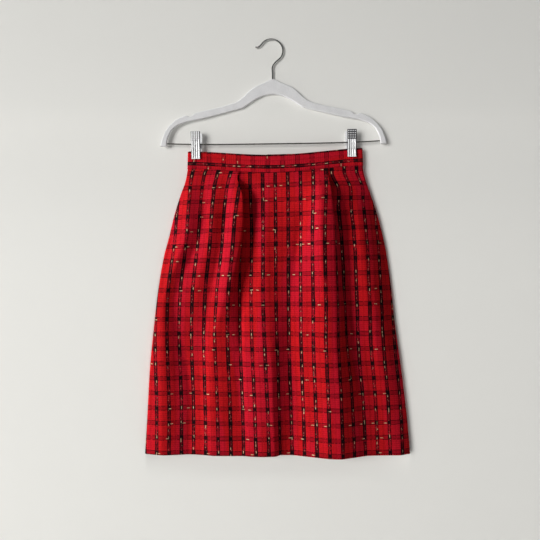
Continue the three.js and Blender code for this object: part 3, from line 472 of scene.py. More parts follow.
def waistband(material):
    """The band's profile, out down one face, round the folded edges and up the other, carried round the
    ring. The top edge is a full half circle of the doubled cloth."""
    rings = np.array([band_ring(down) for down in BAND_DOWNS])
    x, y = rings[..., 0], rings[..., 1]
    between = np.clip((x - LEFT_CLIP_X) / (RIGHT_CLIP_X - LEFT_CLIP_X), 0, 1)
    rise = np.where(y > 0, BACK_BAND_RISE * np.sin(HALF_TURN * between), 0)
    top, foot = seam_z(x) + BAND_HEIGHT + rise, seam_z(x)
    z = lerp(top, foot, BAND_DOWNS[:, None])
    step = np.linalg.norm(np.diff(rings[len(rings) // 2], axis=0), axis=-1)
    run = np.concatenate([[0], np.cumsum(step)])
    pucker = sum(depth * np.sin(run * pace + start) for depth, pace, start in PUCKERS)
    normal = np.gradient(rings, axis=1)[..., ::-1] * np.array([1, -1])
    normal /= np.maximum(np.linalg.norm(normal, axis=-1, keepdims=True), 1e-9)
    half = BAND_THICK / 2
    turn = HALF_TURN * np.linspace(0, 1, EDGE_STEPS + 2)[1:-1]
    levels = []
    for side in (1, -1):
        order = range(len(BAND_DOWNS))
        order = reversed(order) if side > 0 else order
        for i in order:
            height = np.clip(z[i], foot[i] + half / 2, top[i] - half)
            swell = pucker * smooth((BAND_DOWNS[i] - 0.5) / 0.5) * PUCKER_SHARE
            levels.append((i, side * (half + (swell if side > 0 else 0)), height))
        if side > 0:
            levels += [(0, half * math.cos(a), top[0] - half + half * math.sin(a)) for a in turn]
    last = len(BAND_DOWNS) - 1
    levels += [(last, -half * math.cos(a), foot[-1] + half / 2 * (1 - math.sin(a))) for a in turn]
    rows, uvs = [], []
    for i, offset, height in levels:
        offset = np.broadcast_to(offset, run.shape)
        rows.append(np.stack([x[i] + normal[i, :, 0] * offset, y[i] + normal[i, :, 1] * offset, height], -1))
        uvs.append(np.stack([run / 1000, (height - foot[i]) / 1000], -1))
    profile = np.array(rows).transpose(1, 0, 2)
    uv = np.array(uvs).transpose(1, 0, 2)
    columns, around = profile.shape[:2]
    faces = grid_faces(columns, around, wrap_columns=True).tolist()
    faces += [list(range(around)), list(range(columns * around - 1, (columns - 1) * around - 1, -1))]
    points, uv = profile.reshape(-1, 3), uv.reshape(-1, 2)
    piece = make_piece("waistband_cloth", points, faces, material, uv=uv)
    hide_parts("waistband")
    return piece


# ---- zip coil and sewing
COIL_PITCH = 1.5
COIL_OUT = 0.8
COIL_SUNK = 0.2
COIL_LEAN = 0.2
COIL_HALF = 1.45
COIL_RADIUS = 0.5
COIL_START = 24
STITCH_PITCH = 3.2
STITCH_INSET = 7
STITCH_LIFT = 0.1
THREAD_RADIUS = 0.35
DISH_RADIUS = 1.5
SEWING_HALF = 1.7
SEWING_RADIUS = 0.4
BUTTONHOLE_HALF = 10
BUTTONHOLE_PITCH = 0.8
BUTTONHOLE_WIDE = 1.3
BUTTONHOLE_RADIUS = 0.32


def rods(name, starts, ends, radius, material, sides=6):
    """Short round rods, one from each start to its end, with closed ends."""
    starts, ends = np.asarray(starts, float), np.asarray(ends, float)
    along = (ends - starts) / np.linalg.norm(ends - starts, axis=1, keepdims=True)
    across = np.cross(along, [0, 1, 0])
    across /= np.linalg.norm(across, axis=1, keepdims=True)
    third = np.cross(along, across)
    turn = 2 * HALF_TURN * np.arange(sides) / sides
    ring = (across[:, None] * np.cos(turn)[:, None] + third[:, None] * np.sin(turn)[:, None]) * radius
    tips = along[:, None] * radius * 0.5
    starts, ends = starts[:, None], ends[:, None]
    rings = [starts - tips + ring * 0.5, starts + ring, ends + ring, ends + tips + ring * 0.5]
    points = np.concatenate(rings, 1)
    side = grid_faces(4, sides, wrap_columns=True, flip=True)
    faces = []
    for k in range(len(points)):
        first = k * 4 * sides
        faces += (side + first).tolist()
        faces.append(list(range(first, first + sides)))
        faces.append(list(range(first + 4 * sides - 1, first + 3 * sides - 1, -1)))
    return make_piece(name, points.reshape(-1, 3), faces, material)


def back_point(way, drop, run, lift):
    """A point on a back panel's outside, some way from the zip's middle line."""
    x = centre_back_x(drop) + way * run
    edge = outline("right_x" if way > 0 else "left_x", drop) - way * outline("radius", drop)
    share = np.clip((run - ZIP_OPENING / 2) / np.abs(edge - centre_back_x(drop)), 0, 1)
    return np.stack([x, back_surface(way, drop, share) + CLOTH_THICK / 2 + lift, height_at(x, drop)], -1)


def zip_turns(material):
    """The coil's turns, each a rod across the closed coil, from under the slider to the zip's end."""
    drop = np.arange(COIL_START, ZIP_LENGTH - 4, COIL_PITCH)
    x, y = centre_back_x(drop), back_depth(drop, 0.0, 0.0) + COIL_OUT - COIL_SUNK
    z = height_at(x, drop)
    starts, ends = (np.stack([x + way * COIL_HALF, y, z - way * COIL_LEAN], -1) for way in (-1, 1))
    return rods("zip_coil_turns", starts, ends, COIL_RADIUS, material)


def zip_stitching(material):
    """Two rows of stitches beside the zip and a short row across under its end."""
    drop = np.arange(4, ZIP_LENGTH + 4, STITCH_PITCH)
    starts = [back_point(way, drop, STITCH_INSET, STITCH_LIFT) for way in (-1, 1)]
    ends = [back_point(way, drop + STITCH_PITCH * 0.7, STITCH_INSET, STITCH_LIFT) for way in (-1, 1)]
    for way in (-1, 1):
        run = np.arange(0.9, STITCH_INSET, STITCH_PITCH * 0.9)
        low = np.full_like(run, ZIP_LENGTH + 6)
        starts.append(back_point(way, low, run, STITCH_LIFT))
        ends.append(back_point(way, low, run + STITCH_PITCH * 0.6, STITCH_LIFT))
    starts, ends = np.concatenate(starts), np.concatenate(ends)
    return rods("zip_stitches", starts, ends, THREAD_RADIUS, material)


def button_sewing(thread):
    """Crossed thread in the button's dish, and the worked buttonhole's close stitches round it."""
    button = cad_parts["waist_button"]
    corners = np.array([tuple(v.co) for v in button.data.vertices])
    corners = corners @ np.array(button.matrix_world.to_3x3()).T / MM
    corners += np.array(button.matrix_world.translation) / MM
    middle = (corners.min(0) + corners.max(0)) / 2
    near = corners[np.hypot(corners[:, 0] - middle[0], corners[:, 2] - middle[2]) < DISH_RADIUS]
    at = np.array([middle[0], near[:, 1].max() + 0.15, middle[2]])
    starts = [at + [side * SEWING_HALF, 0, -SEWING_HALF] for side in (-1, 1)]
    ends = [at + [side * SEWING_HALF, 0, SEWING_HALF] for side in (1, -1)]
    rods("button_thread", starts, ends, SEWING_RADIUS, thread)
    x = np.arange(middle[0] - BUTTONHOLE_HALF, middle[0] + BUTTONHOLE_HALF, BUTTONHOLE_PITCH)
    y = band_depth(x, 0.5, BAND_BACK_OPEN) + BAND_THICK / 2
    z = np.full_like(x, middle[2])
    starts, ends = (np.stack([x, y, z + side * BUTTONHOLE_WIDE], -1) for side in (-1, 1))
    rods("buttonhole_stitches", starts, ends, BUTTONHOLE_RADIUS, thread)


# ---- node trees
class Tree:
    """Writes shader nodes: most calls add a node and give back its output."""

    def __init__(self, tree):
        self.tree = tree

    def node(self, kind, **settings):
        made = self.tree.nodes.new(kind)
        for key, value in settings.items():
            setattr(made, key, value)
        return made

    def feed(self, socket, value):
        """Links a socket to an output, or sets it to a plain value."""
        if isinstance(value, bpy.types.NodeSocket):
            self.tree.links.new(value, socket)
        else:
            socket.default_value = value

    def fill(self, node, values):
        """Feeds a node's sockets by their names and gives back the node."""
        for name, value in values.items():
            self.feed(node.inputs[name], value)
        return node

    def math(self, operation, *values, clamp=False):
        made = self.node("ShaderNodeMath", operation=operation, use_clamp=clamp)
        for socket, value in zip(made.inputs, values):
            self.feed(socket, value)
        return made.outputs[0]

    plus = partialmethod(math, "ADD")
    minus = partialmethod(math, "SUBTRACT")
    times = partialmethod(math, "MULTIPLY")
    divide = partialmethod(math, "DIVIDE")
    larger = partialmethod(math, "MAXIMUM")
    size = partialmethod(math, "ABSOLUTE")
    whole = partialmethod(math, "ROUND")

    def mix(self, share, a, b):
        """The colour a share of the way from a to b."""
        made = self.node("ShaderNodeMix", data_type="RGBA")
        self.feed(made.inputs["Factor"], share)
        for name, value in (("A", a), ("B", b)):
            self.feed(next(s for s in made.inputs if s.name == name and s.type == "RGBA"), value)
        return next(s for s in made.outputs if s.type == "RGBA")

    def vector(self, x, y, z):
        made = self.node("ShaderNodeCombineXYZ")
        for socket, value in zip(made.inputs, (x, y, z)):
            self.feed(socket, value)
        return made.outputs[0]

    def own_place(self):
        """The piece's own x, y and z, in metres."""
        split = self.node("ShaderNodeSeparateXYZ")
        self.feed(split.inputs[0], self.node("ShaderNodeTexCoord").outputs["Object"])
        return split.outputs

    def noise(self, vector, scale, detail):
        values = {"Vector": vector, "Scale": scale, "Detail": detail, "Roughness": 0.5}
        return self.fill(self.node("ShaderNodeTexNoise"), values).outputs[0]

    def random(self, x, y, seed):
        """One random number for each whole-number cell."""
        made = self.node("ShaderNodeTexWhiteNoise", noise_dimensions="3D")
        return self.fill(made, {"Vector": self.vector(x, y, seed)}).outputs["Value"]

    def chance(self, x, y, seed, limit):
        """1 in the cells whose random number is over the limit, 0 in the others."""
        return self.math("GREATER_THAN", self.random(x, y, seed), limit)

    def ramp(self, value, low, high):
        """A soft step from 0 at low to 1 at high."""
        made = self.node("ShaderNodeMapRange", interpolation_type="SMOOTHSTEP")
        return self.fill(made, {"Value": value, "From Min": low, "From Max": high}).outputs[0]

    def inside(self, value, edge, soft):
        """1 where value is under edge, falling to 0 over a soft border."""
        if isinstance(edge, bpy.types.NodeSocket):
            value, edge = self.minus(value, edge), 0.0
        return self.minus(1.0, self.ramp(value, edge - soft, edge + soft))

    def bump(self, height, strength, distance_mm):
        values = {"Strength": strength, "Distance": distance_mm * MM, "Height": height}
        return self.fill(self.node("ShaderNodeBump"), values).outputs[0]

    def use(self, group, values):
        """A node group's outputs, with its inputs fed by name."""
        return self.fill(self.node("ShaderNodeGroup", node_tree=group), values).outputs


def new_group(name, inputs, outputs):
    """A node group with number inputs and their starting values, and number outputs apart from Color."""
    group = bpy.data.node_groups.new(name, "ShaderNodeTree")
    for label, value in inputs.items():
        socket = group.interface.new_socket(name=label, in_out="INPUT", socket_type="NodeSocketFloat")
        socket.default_value = value
    for label in outputs:
        kind = "NodeSocketColor" if label == "Color" else "NodeSocketFloat"
        group.interface.new_socket(name=label, in_out="OUTPUT", socket_type=kind)
    write = Tree(group)
    return write, write.node("NodeGroupInput").outputs, write.node("NodeGroupOutput").inputs


def stripe_cell(t, along, step):
    """A repeat's cell number, and the way from its middle line with and without a sign."""
    number = t.whole(t.divide(along, step))
    away = t.minus(along, t.times(number, step))
    return number, away, t.size(away)


# The cloth's colours.
INK = (0.004, 0.002, 0.003, 1)
# The pink red is painted sheen: it stands for the pink sheen of lit crests.
LIT_RED, DEEP_RED, PINK_SHEEN_RED = (0.66, 0.009, 0.014, 1), (0.4, 0.005, 0.006, 1), (0.62, 0.009, 0.04, 1)
RIB_SHADOW, BETWEEN_SHADOW = (0.08, 0.001, 0.003, 1), (0.1, 0.001, 0.003, 1)
WEFT_SHADOW, WEFT_EDGE_SHADOW = (0.05, 0.0, 0.004, 1), (0.015, 0.001, 0.002, 1)
STRIPE_DUSK, STRIPE_DARK = (0.2, 0.004, 0.012, 1), (0.05, 0.002, 0.005, 1)
PALE_FLECK = (0.5, 0.16, 0.12, 1)
SLUB_DARK, SLUB_LIGHT = (0.36, 0.17, 0.08, 1), (0.78, 0.55, 0.34, 1)
# The weave's repeats, in millimetres: rib, heavier course, column of one yarn's shade.
RIB, COURSE, YARN_COLUMN = 2.15, 3.8, 4.2
# The check's parts: half widths, and the ways of lines from their stripe's middle.
WEFT_HALF, WEFT_EDGE_AT, WEFT_EDGE_HALF = 4.0, 3.9, 0.75
WARP_HALF, WARP_MIDDLE_HALF = 3.6, 1.7
WARP_LINE_AT, WARP_LINE_HALF, WARP_LINE_MORE = 2.5, 0.8, 0.3
SQUARE_HALF, SQUARE_MORE = 2.9, 0.9
FLECK_WIDE, FLECK_LONG = 1.2, 2.4
# The slubs: half width and half length upright and level, the level ones' way from their band's middle, and
# the repeats of the cells that they stand in.
UPRIGHT_HALF_WIDE, UPRIGHT_HALF_LONG, KNOT_HALF_LONG = 0.66, 2.3, 2.4
LEVEL_HALF_WIDE, LEVEL_HALF_LONG, LEVEL_AT = 0.72, 2.6, 1.2
UPRIGHT_CELL, LEVEL_CELL = 13.0, 12.3


def woven_check_group():
    """The check: lengthwise stripes with a dusky, flecked middle between two broken black lines, fainter
    crosswise bands with dark edges, black squares where the two cross, cream slubs on both, and the ribs of
    the weave."""
    t, given, out = new_group(
        "woven check", {"Across": 0.0, "Along": 0.0, "Warp Strength": 1.0, "Weft Strength": 1.0, "Seed": 0.0},
        ["Color", "Height", "Roughness"])
    across, along, seed = given["Across"], given["Along"], given["Seed"]
    warp_strong, weft_strong = given["Warp Strength"], given["Weft Strength"]

    def drift(across_scale, along_scale, place, detail):
        """A noise stretched along the cloth."""
        place = t.vector(t.times(across, across_scale), t.times(along, along_scale), place)
        return t.noise(place, 1.0, detail)

    wobble = drift(0.05, 0.05, seed, 2.0)
    warp_no, warp_off, warp = stripe_cell(t, t.plus(across, t.times(t.minus(wobble, 0.5), 1.6)), WARP_STEP)
    weft_no, weft_off, weft = stripe_cell(t, t.plus(along, t.times(t.minus(wobble, 0.5), -1.8)), WEFT_STEP)
    pick_no, _, pick = stripe_cell(t, along, RIB)
    end_no, _, end = stripe_cell(t, across, RIB)
    pick_shade, end_shade = t.divide(pick, RIB / 2), t.divide(end, RIB / 2)

    # the red ground: patches, yarn columns, pink patches of painted sheen, ribs, heavier courses and a dim
    # line midway between stripes
    column = t.random(t.whole(t.divide(across, YARN_COLUMN)), 0.0, seed)
    patch = t.plus(drift(0.013, 0.006, seed, 2.0), t.times(column, 0.35))
    ground = t.mix(t.times(patch, 0.55, clamp=True), LIT_RED, DEEP_RED)
    # pink patches laid by noise: painted sheen
    painted_sheen = drift(0.028, 0.004, t.plus(seed, 5.0), 1.0)
    ground = t.mix(t.times(t.ramp(painted_sheen, 0.42, 0.62), 0.45), ground, PINK_SHEEN_RED)
    thread = t.random(end_no, pick_no, seed)
    rib_line = t.larger(t.ramp(pick_shade, 0.45, 0.95), t.ramp(end_shade, 0.45, 0.95))
    _, _, course = stripe_cell(t, along, COURSE)
    shade = t.plus(t.times(rib_line, 0.42), t.times(thread, 0.14), clamp=True)
    shade = t.plus(shade, t.times(t.ramp(course, 1.2, 1.8), 0.26), clamp=True)
    ground = t.mix(shade, ground, RIB_SHADOW)
    ground = t.mix(t.times(t.ramp(warp, 10.6, 11.9), 0.22), ground, BETWEEN_SHADOW)

    # crosswise bands with broken dark edges
    weft_in = t.times(t.inside(weft, WEFT_HALF, 0.5), weft_strong)
    weft_edge = t.times(t.inside(t.size(t.minus(weft, WEFT_EDGE_AT)), WEFT_EDGE_HALF, 0.3), weft_strong)
    breaks = t.ramp(t.random(end_no, weft_no, 3.0), 0.12, 0.4)
    cloth = t.mix(t.times(weft_in, 0.36), ground, WEFT_SHADOW)
    cloth = t.mix(t.times(t.times(weft_edge, breaks), 0.72), cloth, WEFT_EDGE_SHADOW)

    # lengthwise stripes, heavier here and there and always near the waist: a dusky middle with black and
    # pale flecks, between two broken black lines
    heavy = t.ramp(t.noise(t.vector(t.times(warp_no, 3.7), t.times(along, 0.02), seed), 1.0, 1.0), 0.4, 0.62)
    heavy = t.larger(heavy, t.minus(1.0, t.ramp(along, -20.0, -14.0)))
    warp_in = t.times(t.inside(warp, WARP_HALF, 0.4), warp_strong)
    dusky = t.mix(heavy, STRIPE_DUSK, STRIPE_DARK)
    cloth = t.mix(t.times(warp_in, t.plus(0.5, t.times(heavy, 0.35))), cloth, dusky)
    line_half = t.plus(WARP_LINE_HALF, t.times(heavy, WARP_LINE_MORE))
    lines = t.times(t.inside(t.size(t.minus(warp, WARP_LINE_AT)), line_half, 0.3), warp_strong)
    over = t.ramp(t.random(pick_no, warp_no, 5.0), 0.1, 0.5)
    line_share = t.plus(0.3, t.plus(t.times(heavy, 0.3), t.times(over, 0.6)))
    cloth = t.mix(t.times(lines, line_share, clamp=True), cloth, INK)
    fleck_across = t.plus(t.times(warp_no, 7.0), t.whole(t.divide(warp_off, FLECK_WIDE)))
    fleck = t.random(fleck_across, t.whole(t.divide(along, FLECK_LONG)), seed)
    middle = t.times(t.inside(warp, WARP_MIDDLE_HALF, 0.3), warp_strong)
    cloth = t.mix(t.times(middle, t.times(t.ramp(fleck, 0.72, 0.76), 0.8)), cloth, INK)
    cloth = t.mix(t.times(middle, t.times(t.ramp(fleck, 0.93, 0.95), 0.5)), cloth, PALE_FLECK)

    # black squares where the two cross
    knot = t.random(warp_no, weft_no, 9.0)
    square_half = t.plus(SQUARE_HALF, t.times(knot, SQUARE_MORE))
    square = t.inside(t.minus(t.larger(warp, weft), square_half), 0.2, 0.45)
    square = t.times(square, t.times(warp_strong, weft_strong), clamp=True)
    cloth = t.mix(t.times(square, t.plus(0.86, t.times(thread, 0.14))), cloth, INK)

    # cream slubs: upright ones on the stripes, mostly at a square, and level ones along the bands
    knot_run = t.minus(weft_off, t.times(t.minus(knot, 0.35), 12.0))
    at_knot = t.times(t.inside(t.size(knot_run), KNOT_HALF_LONG, 1.1), t.chance(warp_no, weft_no, 15.0, 0.56))
    moved = t.plus(along, t.times(t.random(warp_no, 1.0, seed), 29.0))
    run_no, _, run_away = stripe_cell(t, moved, UPRIGHT_CELL)
    in_run = t.chance(warp_no, run_no, t.plus(seed, 1.0), 0.9)
    in_run = t.times(t.inside(run_away, UPRIGHT_HALF_LONG, 1.1), in_run)
    slub_side = t.times(t.minus(t.random(warp_no, weft_no, 7.0), 0.5), 2.4)
    upright = t.inside(t.size(t.minus(warp_off, slub_side)), UPRIGHT_HALF_WIDE, 0.45)
    upright = t.times(upright, t.larger(at_knot, in_run))
    moved = t.plus(across, t.times(t.random(weft_no, 2.0, seed), 37.0))
    side_no, _, side_away = stripe_cell(t, moved, LEVEL_CELL)
    level = t.inside(t.size(t.minus(weft_off, LEVEL_AT)), LEVEL_HALF_WIDE, 0.45)
    level = t.times(level, t.inside(side_away, LEVEL_HALF_LONG, 1.2))
    level = t.times(level, t.chance(side_no, weft_no, t.plus(seed, 2.0), 0.87))
    slub = t.larger(t.times(upright, warp_strong), t.times(level, weft_strong), clamp=True)
    twist = t.random(pick_no, end_no, 4.0)
    faint = t.ramp(t.random(run_no, side_no, 21.0), 0.0, 1.0)
    slub_share = t.times(slub, t.plus(0.35, t.times(t.larger(faint, twist), 0.55)))
    cloth = t.mix(slub_share, cloth, t.mix(twist, SLUB_DARK, SLUB_LIGHT))

    height = t.minus(1.0, t.times(t.larger(pick_shade, end_shade), 0.6))
    t.feed(out["Color"], cloth)
    t.feed(out["Height"], t.plus(height, t.times(slub, 0.6)))
    t.feed(out["Roughness"], t.plus(0.78, t.times(thread, 0.14)))
    return t.tree


def new_material(name):
    material = bpy.data.materials.new(name)
    material.use_nodes = True
    material.node_tree.nodes.clear()
    t = Tree(material.node_tree)
    shader = t.node("ShaderNodeBsdfPrincipled")
    end = t.node("ShaderNodeOutputMaterial")
    t.feed(end.inputs["Surface"], shader.outputs[0])
    return material, t, shader


def wool_material(name, group, across_axis, across_shift, weft_strength, seed):
    """Checked wool: the check group read on the piece's own cloth coordinates, in millimetres. across_axis
    says which of the two crosses the lengthwise stripes."""
    material, t, shader = new_material(name)
    split = t.node("ShaderNodeSeparateXYZ")
    t.feed(split.inputs[0], t.node("ShaderNodeUVMap", uv_map="cloth").outputs[0])
    across, along = (t.times(split.outputs[k], 1000.0) for k in (across_axis, 1 - across_axis))
    cloth = t.use(group, {"Across": t.minus(across, across_shift), "Along": along, "Warp Strength": 1.0,
                          "Weft Strength": weft_strength, "Seed": seed})
    t.fill(shader, {
        "Base Color": cloth["Color"], "Roughness": cloth["Roughness"],
        "Normal": t.bump(cloth["Height"], 0.5, 0.4), "Specular IOR Level": 0.04,
        "Sheen Weight": 0.02, "Sheen Roughness": 0.4, "Sheen Tint": (1.0, 0.45, 0.55, 1)})
    return material


def grain_group():
    """Fine specks and a slow drift of shade, on the piece's own place in millimetres."""
    t, given, out = new_group("fine grain", {"Size": 0.5, "Seed": 0.0}, ["Speck", "Drift"])
    scaled = t.node("ShaderNodeVectorMath", operation="SCALE")
    t.feed(scaled.inputs[0], t.node("ShaderNodeTexCoord").outputs["Object"])
    t.feed(scaled.inputs["Scale"], t.divide(1000.0, given["Size"]))
    moved = t.node("ShaderNodeVectorMath", operation="ADD")
    t.feed(moved.inputs[0], scaled.outputs[0])
    t.feed(moved.inputs[1], t.vector(given["Seed"], given["Seed"], given["Seed"]))
    t.feed(out["Speck"], t.noise(moved.outputs[0], 1.0, 1.0))
    t.feed(out["Drift"], t.noise(moved.outputs[0], 0.03, 3.0))
    return t.tree


def grained_material(group, name, light, dark, size, rough, rough_drift, bump_mm, metallic, sheen, seed):
    """A finish with a fine grain: colour runs between two shades, and roughness and bump follow the grain."""
    material, t, shader = new_material(name)
    grain = t.use(group, {"Size": size, "Seed": seed})
    share = t.plus(t.times(grain["Speck"], 0.6), t.times(grain["Drift"], 0.4))
    t.fill(shader, {
        "Base Color": t.mix(t.ramp(share, 0.3, 0.7), light + (1,), dark + (1,)),
        "Roughness": t.plus(rough, t.times(grain["Drift"], rough_drift)),
        "Normal": t.bump(grain["Speck"], 0.6, bump_mm), "Metallic": metallic, "Sheen Weight": sheen})
    return material


CLIP_GROOVE_STEP = 4.2
CLIP_GROOVE_HALF = 0.75
CLIP_GROOVE_END = 51.0
CLIP_GRIP = 19.6
CLIP_DOT_HALF = 0.95


def clip_face_group():
    """The clip's pressed face: lengthwise grooves and, at the top, a grip with rows of raised dots. Grooves,
    side edges and the grip round the dots are painted near black: painted shade and dark reflections.
    """
    t, given, out = new_group("clip face", {"Centre X": 0.0, "Top Z": 0.0, "Grip Painted Shade": 0.5},
                              ["Color", "Height", "Roughness"])
    place = t.own_place()
    x, z = (t.times(place[k], 1000.0) for k in (0, 2))
    down = t.minus(given["Top Z"], z)
    lean = t.times(t.minus(CLIP_MIDDLE_DOWN, down), math.sin(HANGER_TILT))
    across = t.plus(t.minus(x, given["Centre X"]), lean)
    _, _, groove = stripe_cell(t, across, CLIP_GROOVE_STEP)
    _, _, rows = stripe_cell(t, t.minus(down, 1.0), CLIP_GROOVE_STEP)
    side = t.ramp(t.size(across), CLIP_WIDTH / 2 - 1.1, CLIP_WIDTH / 2 - 0.4)
    grip = t.inside(down, CLIP_GRIP, 0.3)
    lines = t.inside(groove, CLIP_GROOVE_HALF, 0.35)
    lines = t.times(lines, t.ramp(t.minus(CLIP_GROOVE_END, down), 0.0, 1.0))
    half = CLIP_GROOVE_STEP / 2
    dot = t.inside(t.larger(t.minus(half, groove), t.minus(half, rows)), CLIP_DOT_HALF, 0.4)
    dark = t.larger(lines, side)
    grip_shade = t.larger(dark, t.times(t.minus(1.0, dot), given["Grip Painted Shade"]))
    share = t.plus(t.times(grip_shade, grip), t.times(dark, t.minus(1.0, grip)), clamp=True)
    # painted shade and dark reflections: near black in the grooves, at the side edges and round the grip's
    # dots
    t.feed(out["Color"], t.mix(share, (0.97, 0.98, 0.99, 1), (0.015, 0.015, 0.02, 1)))
    t.feed(out["Height"], t.minus(1.0, dark))
    t.feed(out["Roughness"], t.plus(0.25, t.times(share, 0.4)))
    return t.tree


def clip_material(name, group, centre_x, top_z, grip_painted_shade):
    """A clip's front leaf: its pressed face, set to the clip's own place and to how much painted shade its
    grip gets.
    """
    material, t, shader = new_material(name)
    face = t.use(group, {"Centre X": centre_x, "Top Z": top_z, "Grip Painted Shade": grip_painted_shade})
    t.fill(shader, {
        "Base Color": face["Color"], "Roughness": face["Roughness"],
        "Normal": t.bump(face["Height"], 0.7, 0.5), "Metallic": 0.1, "Coat Weight": 0.15})
    return material


# Grained finishes: name, light and dark shade, grain size in millimetres, roughness and its drift, bump in
# millimetres, metallic, sheen, seed.
FINISHES = [
    ("pale grey flock", (0.66, 0.66, 0.67), (0.56, 0.56, 0.57), 0.5, 0.85, 0.1, 0.12, 0, 0.4, 0),
    ("bright pressed chrome", (0.95, 0.96, 0.97), (0.85, 0.86, 0.88), 1.5, 0.2, 0.14, 0.01, 0.15, 0, 3),
    ("chromed hook wire", (0.5, 0.5, 0.49), (0.36, 0.36, 0.35), 1.5, 0.06, 0.1, 0.01, 1, 0, 4),
    ("dull bar wire", (0.22, 0.22, 0.2), (0.12, 0.12, 0.11), 1.5, 0.2, 0.14, 0.01, 1, 0, 6),
    ("dark spring steel", (0.2, 0.2, 0.21), (0.1, 0.1, 0.11), 0.8, 0.3, 0.2, 0.02, 1, 0, 5),
    ("zip tape weave", (0.33, 0.01, 0.016), (0.22, 0.006, 0.01), 0.6, 0.8, 0.1, 0.08, 0, 0.1, 7),
    ("nickel zip metal", (0.66, 0.65, 0.63), (0.5, 0.49, 0.48), 0.7, 0.22, 0.2, 0.02, 1, 0, 9),
    ("red coil plastic", (0.42, 0.014, 0.02), (0.3, 0.01, 0.014), 0.9, 0.35, 0.15, 0.02, 0, 0, 15),
    ("red sewing thread", (0.5, 0.02, 0.03), (0.34, 0.012, 0.02), 0.3, 0.6, 0.2, 0.03, 0, 0, 17),
    ("dark red button", (0.2, 0.01, 0.015), (0.12, 0.006, 0.01), 3, 0.25, 0.15, 0.02, 0, 0, 13),
]
check = woven_check_group()
panel_wool = wool_material("checked wool, panels", check, 0, 500.0, 1.0, 0.0)
band_wool = wool_material("checked wool, band", check, 1, 10.6, 0.9, 11.0)
grain = grain_group()
finish = {row[0]: grained_material(grain, *row) for row in FINISHES}
clip_face = clip_face_group()
# the last value is how much painted shade the grip gets, more on the right clip
CLIPS = [("left", LEFT_CLIP_X, LEFT_CLIP_TOP_Z, 0.35), ("right", RIGHT_CLIP_X, RIGHT_CLIP_TOP_Z, 1.0)]
for side, *values in CLIPS:
    finish[f"{side} clip face"] = clip_material(f"pressed chrome, {side} clip", clip_face, *values)

# ---- the pieces
front = front_panel(panel_wool)
backs = {way: back_panel(way, panel_wool) for way in (-1, 1)}
band = waistband(band_wool)
zip_turns(finish["red coil plastic"])
zip_stitching(finish["red sewing thread"])
button_sewing(finish["red sewing thread"])

for name, nodes in {
    "zip tape weave": ["zip_tape", "zip_coil"], "nickel zip metal": ["zip_slider", "zip_pull"],
    "dark red button": ["waist_button"], "pale grey flock": ["hanger_body"],
    "chromed hook wire": ["hanger_hook"], "dull bar wire": ["hanger_bar"],
    "left clip face": ["left_clip_front"], "right clip face": ["right_clip_front"],
    "bright pressed chrome": ["left_clip_back", "right_clip_back"],
    "dark spring steel": ["left_clip_spring", "right_clip_spring"],
}.items():
    for node in nodes:
        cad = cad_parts[node]
        cad.data.materials.clear()
        cad.data.materials.append(finish[name])

# ---- stage, light and camera
# The wall's depth at some heights, in metres: in the open, and behind the garment where it steps back.
WALL_HEIGHTS = [-1.28, -0.865, -0.82, -0.62, -0.46, -0.33, -0.235, -0.2, -0.18, -0.14, 3]
WALL_OPEN = [0.009, 0.009, 0.009, 0.0075, 0.0055, 0.0075, 0.0125, 0.0118, 0.0104, 0.0042, 0.0038]
WALL_BEHIND = [0.009, 0.009, 0.0208, 0.0208, 0.019, 0.0165, 0.0135, 0.0118, 0.0104, 0.0042, 0.0038]
FLOOR_Z = -1.28
FLOOR_HALF = 4
WALL_HALF = 5.0
# The grid's margin beside the skirt, and how far in the wall takes to step back: behind the skirt and under
# its hem, in metres. Then the waist seam's depth and the share of a depth that is drop, in millimetres.
WALL_MARGIN = 0.03
REACH_BEHIND = 0.018
REACH_UNDER = 0.07
WAIST_DOWN = 262
DROP_STRETCH = 0.99
# How much darker the stage's colour is painted at the top: painted shade, for the light that falls off
# upwards.
STAGE_PAINTED_SHADE = 0.88


def stage_sheet(name, points, material):
    """A sheet of the stage from a grid of points in metres."""
    faces = grid_faces(*points.shape[:2], flip=True)
    made = add_object(name, smooth_mesh(name, points.reshape(-1, 3), faces, material))
    return made


def wall_points():
    """The wall's grid: its depth goes from open to behind by 1 - e^(-way in / reach), with the way in counted
    from the sides of the skirt, and the ends of the rows run out straight."""
    z = np.concatenate([[FLOOR_Z], np.linspace(-0.96, 0.1, 89), [3]])
    drop = np.clip((-z * 1000 - WAIST_DOWN) / DROP_STRETCH, 0, HEM_DROP)
    left, right = outline("left_x", drop) / 1000, outline("right_x", drop) / 1000
    share = np.linspace(-0.5, 0.5, 161)
    x = (left + right)[:, None] / 2 + (right - left + 2 * WALL_MARGIN)[:, None] * share
    inward = np.minimum(x - left[:, None], right[:, None] - x)
    reach = lerp(REACH_BEHIND, REACH_UNDER, smooth((-z - 0.8) / 0.05))[:, None]
    step = np.clip(1 - np.exp(-(inward + 0.002) / reach), 0, 1)
    open_y, behind_y = (np.interp(z, WALL_HEIGHTS, column)[:, None] for column in (WALL_OPEN, WALL_BEHIND))
    y = lerp(open_y, behind_y, step)
    x = np.concatenate([np.full((len(z), 1), -WALL_HALF), x, np.full((len(z), 1), WALL_HALF)], 1)
    y = np.concatenate([y[:, :1], y, y[:, -1:]], 1)
    return np.stack([x, y, np.broadcast_to(z[:, None], x.shape)], -1)


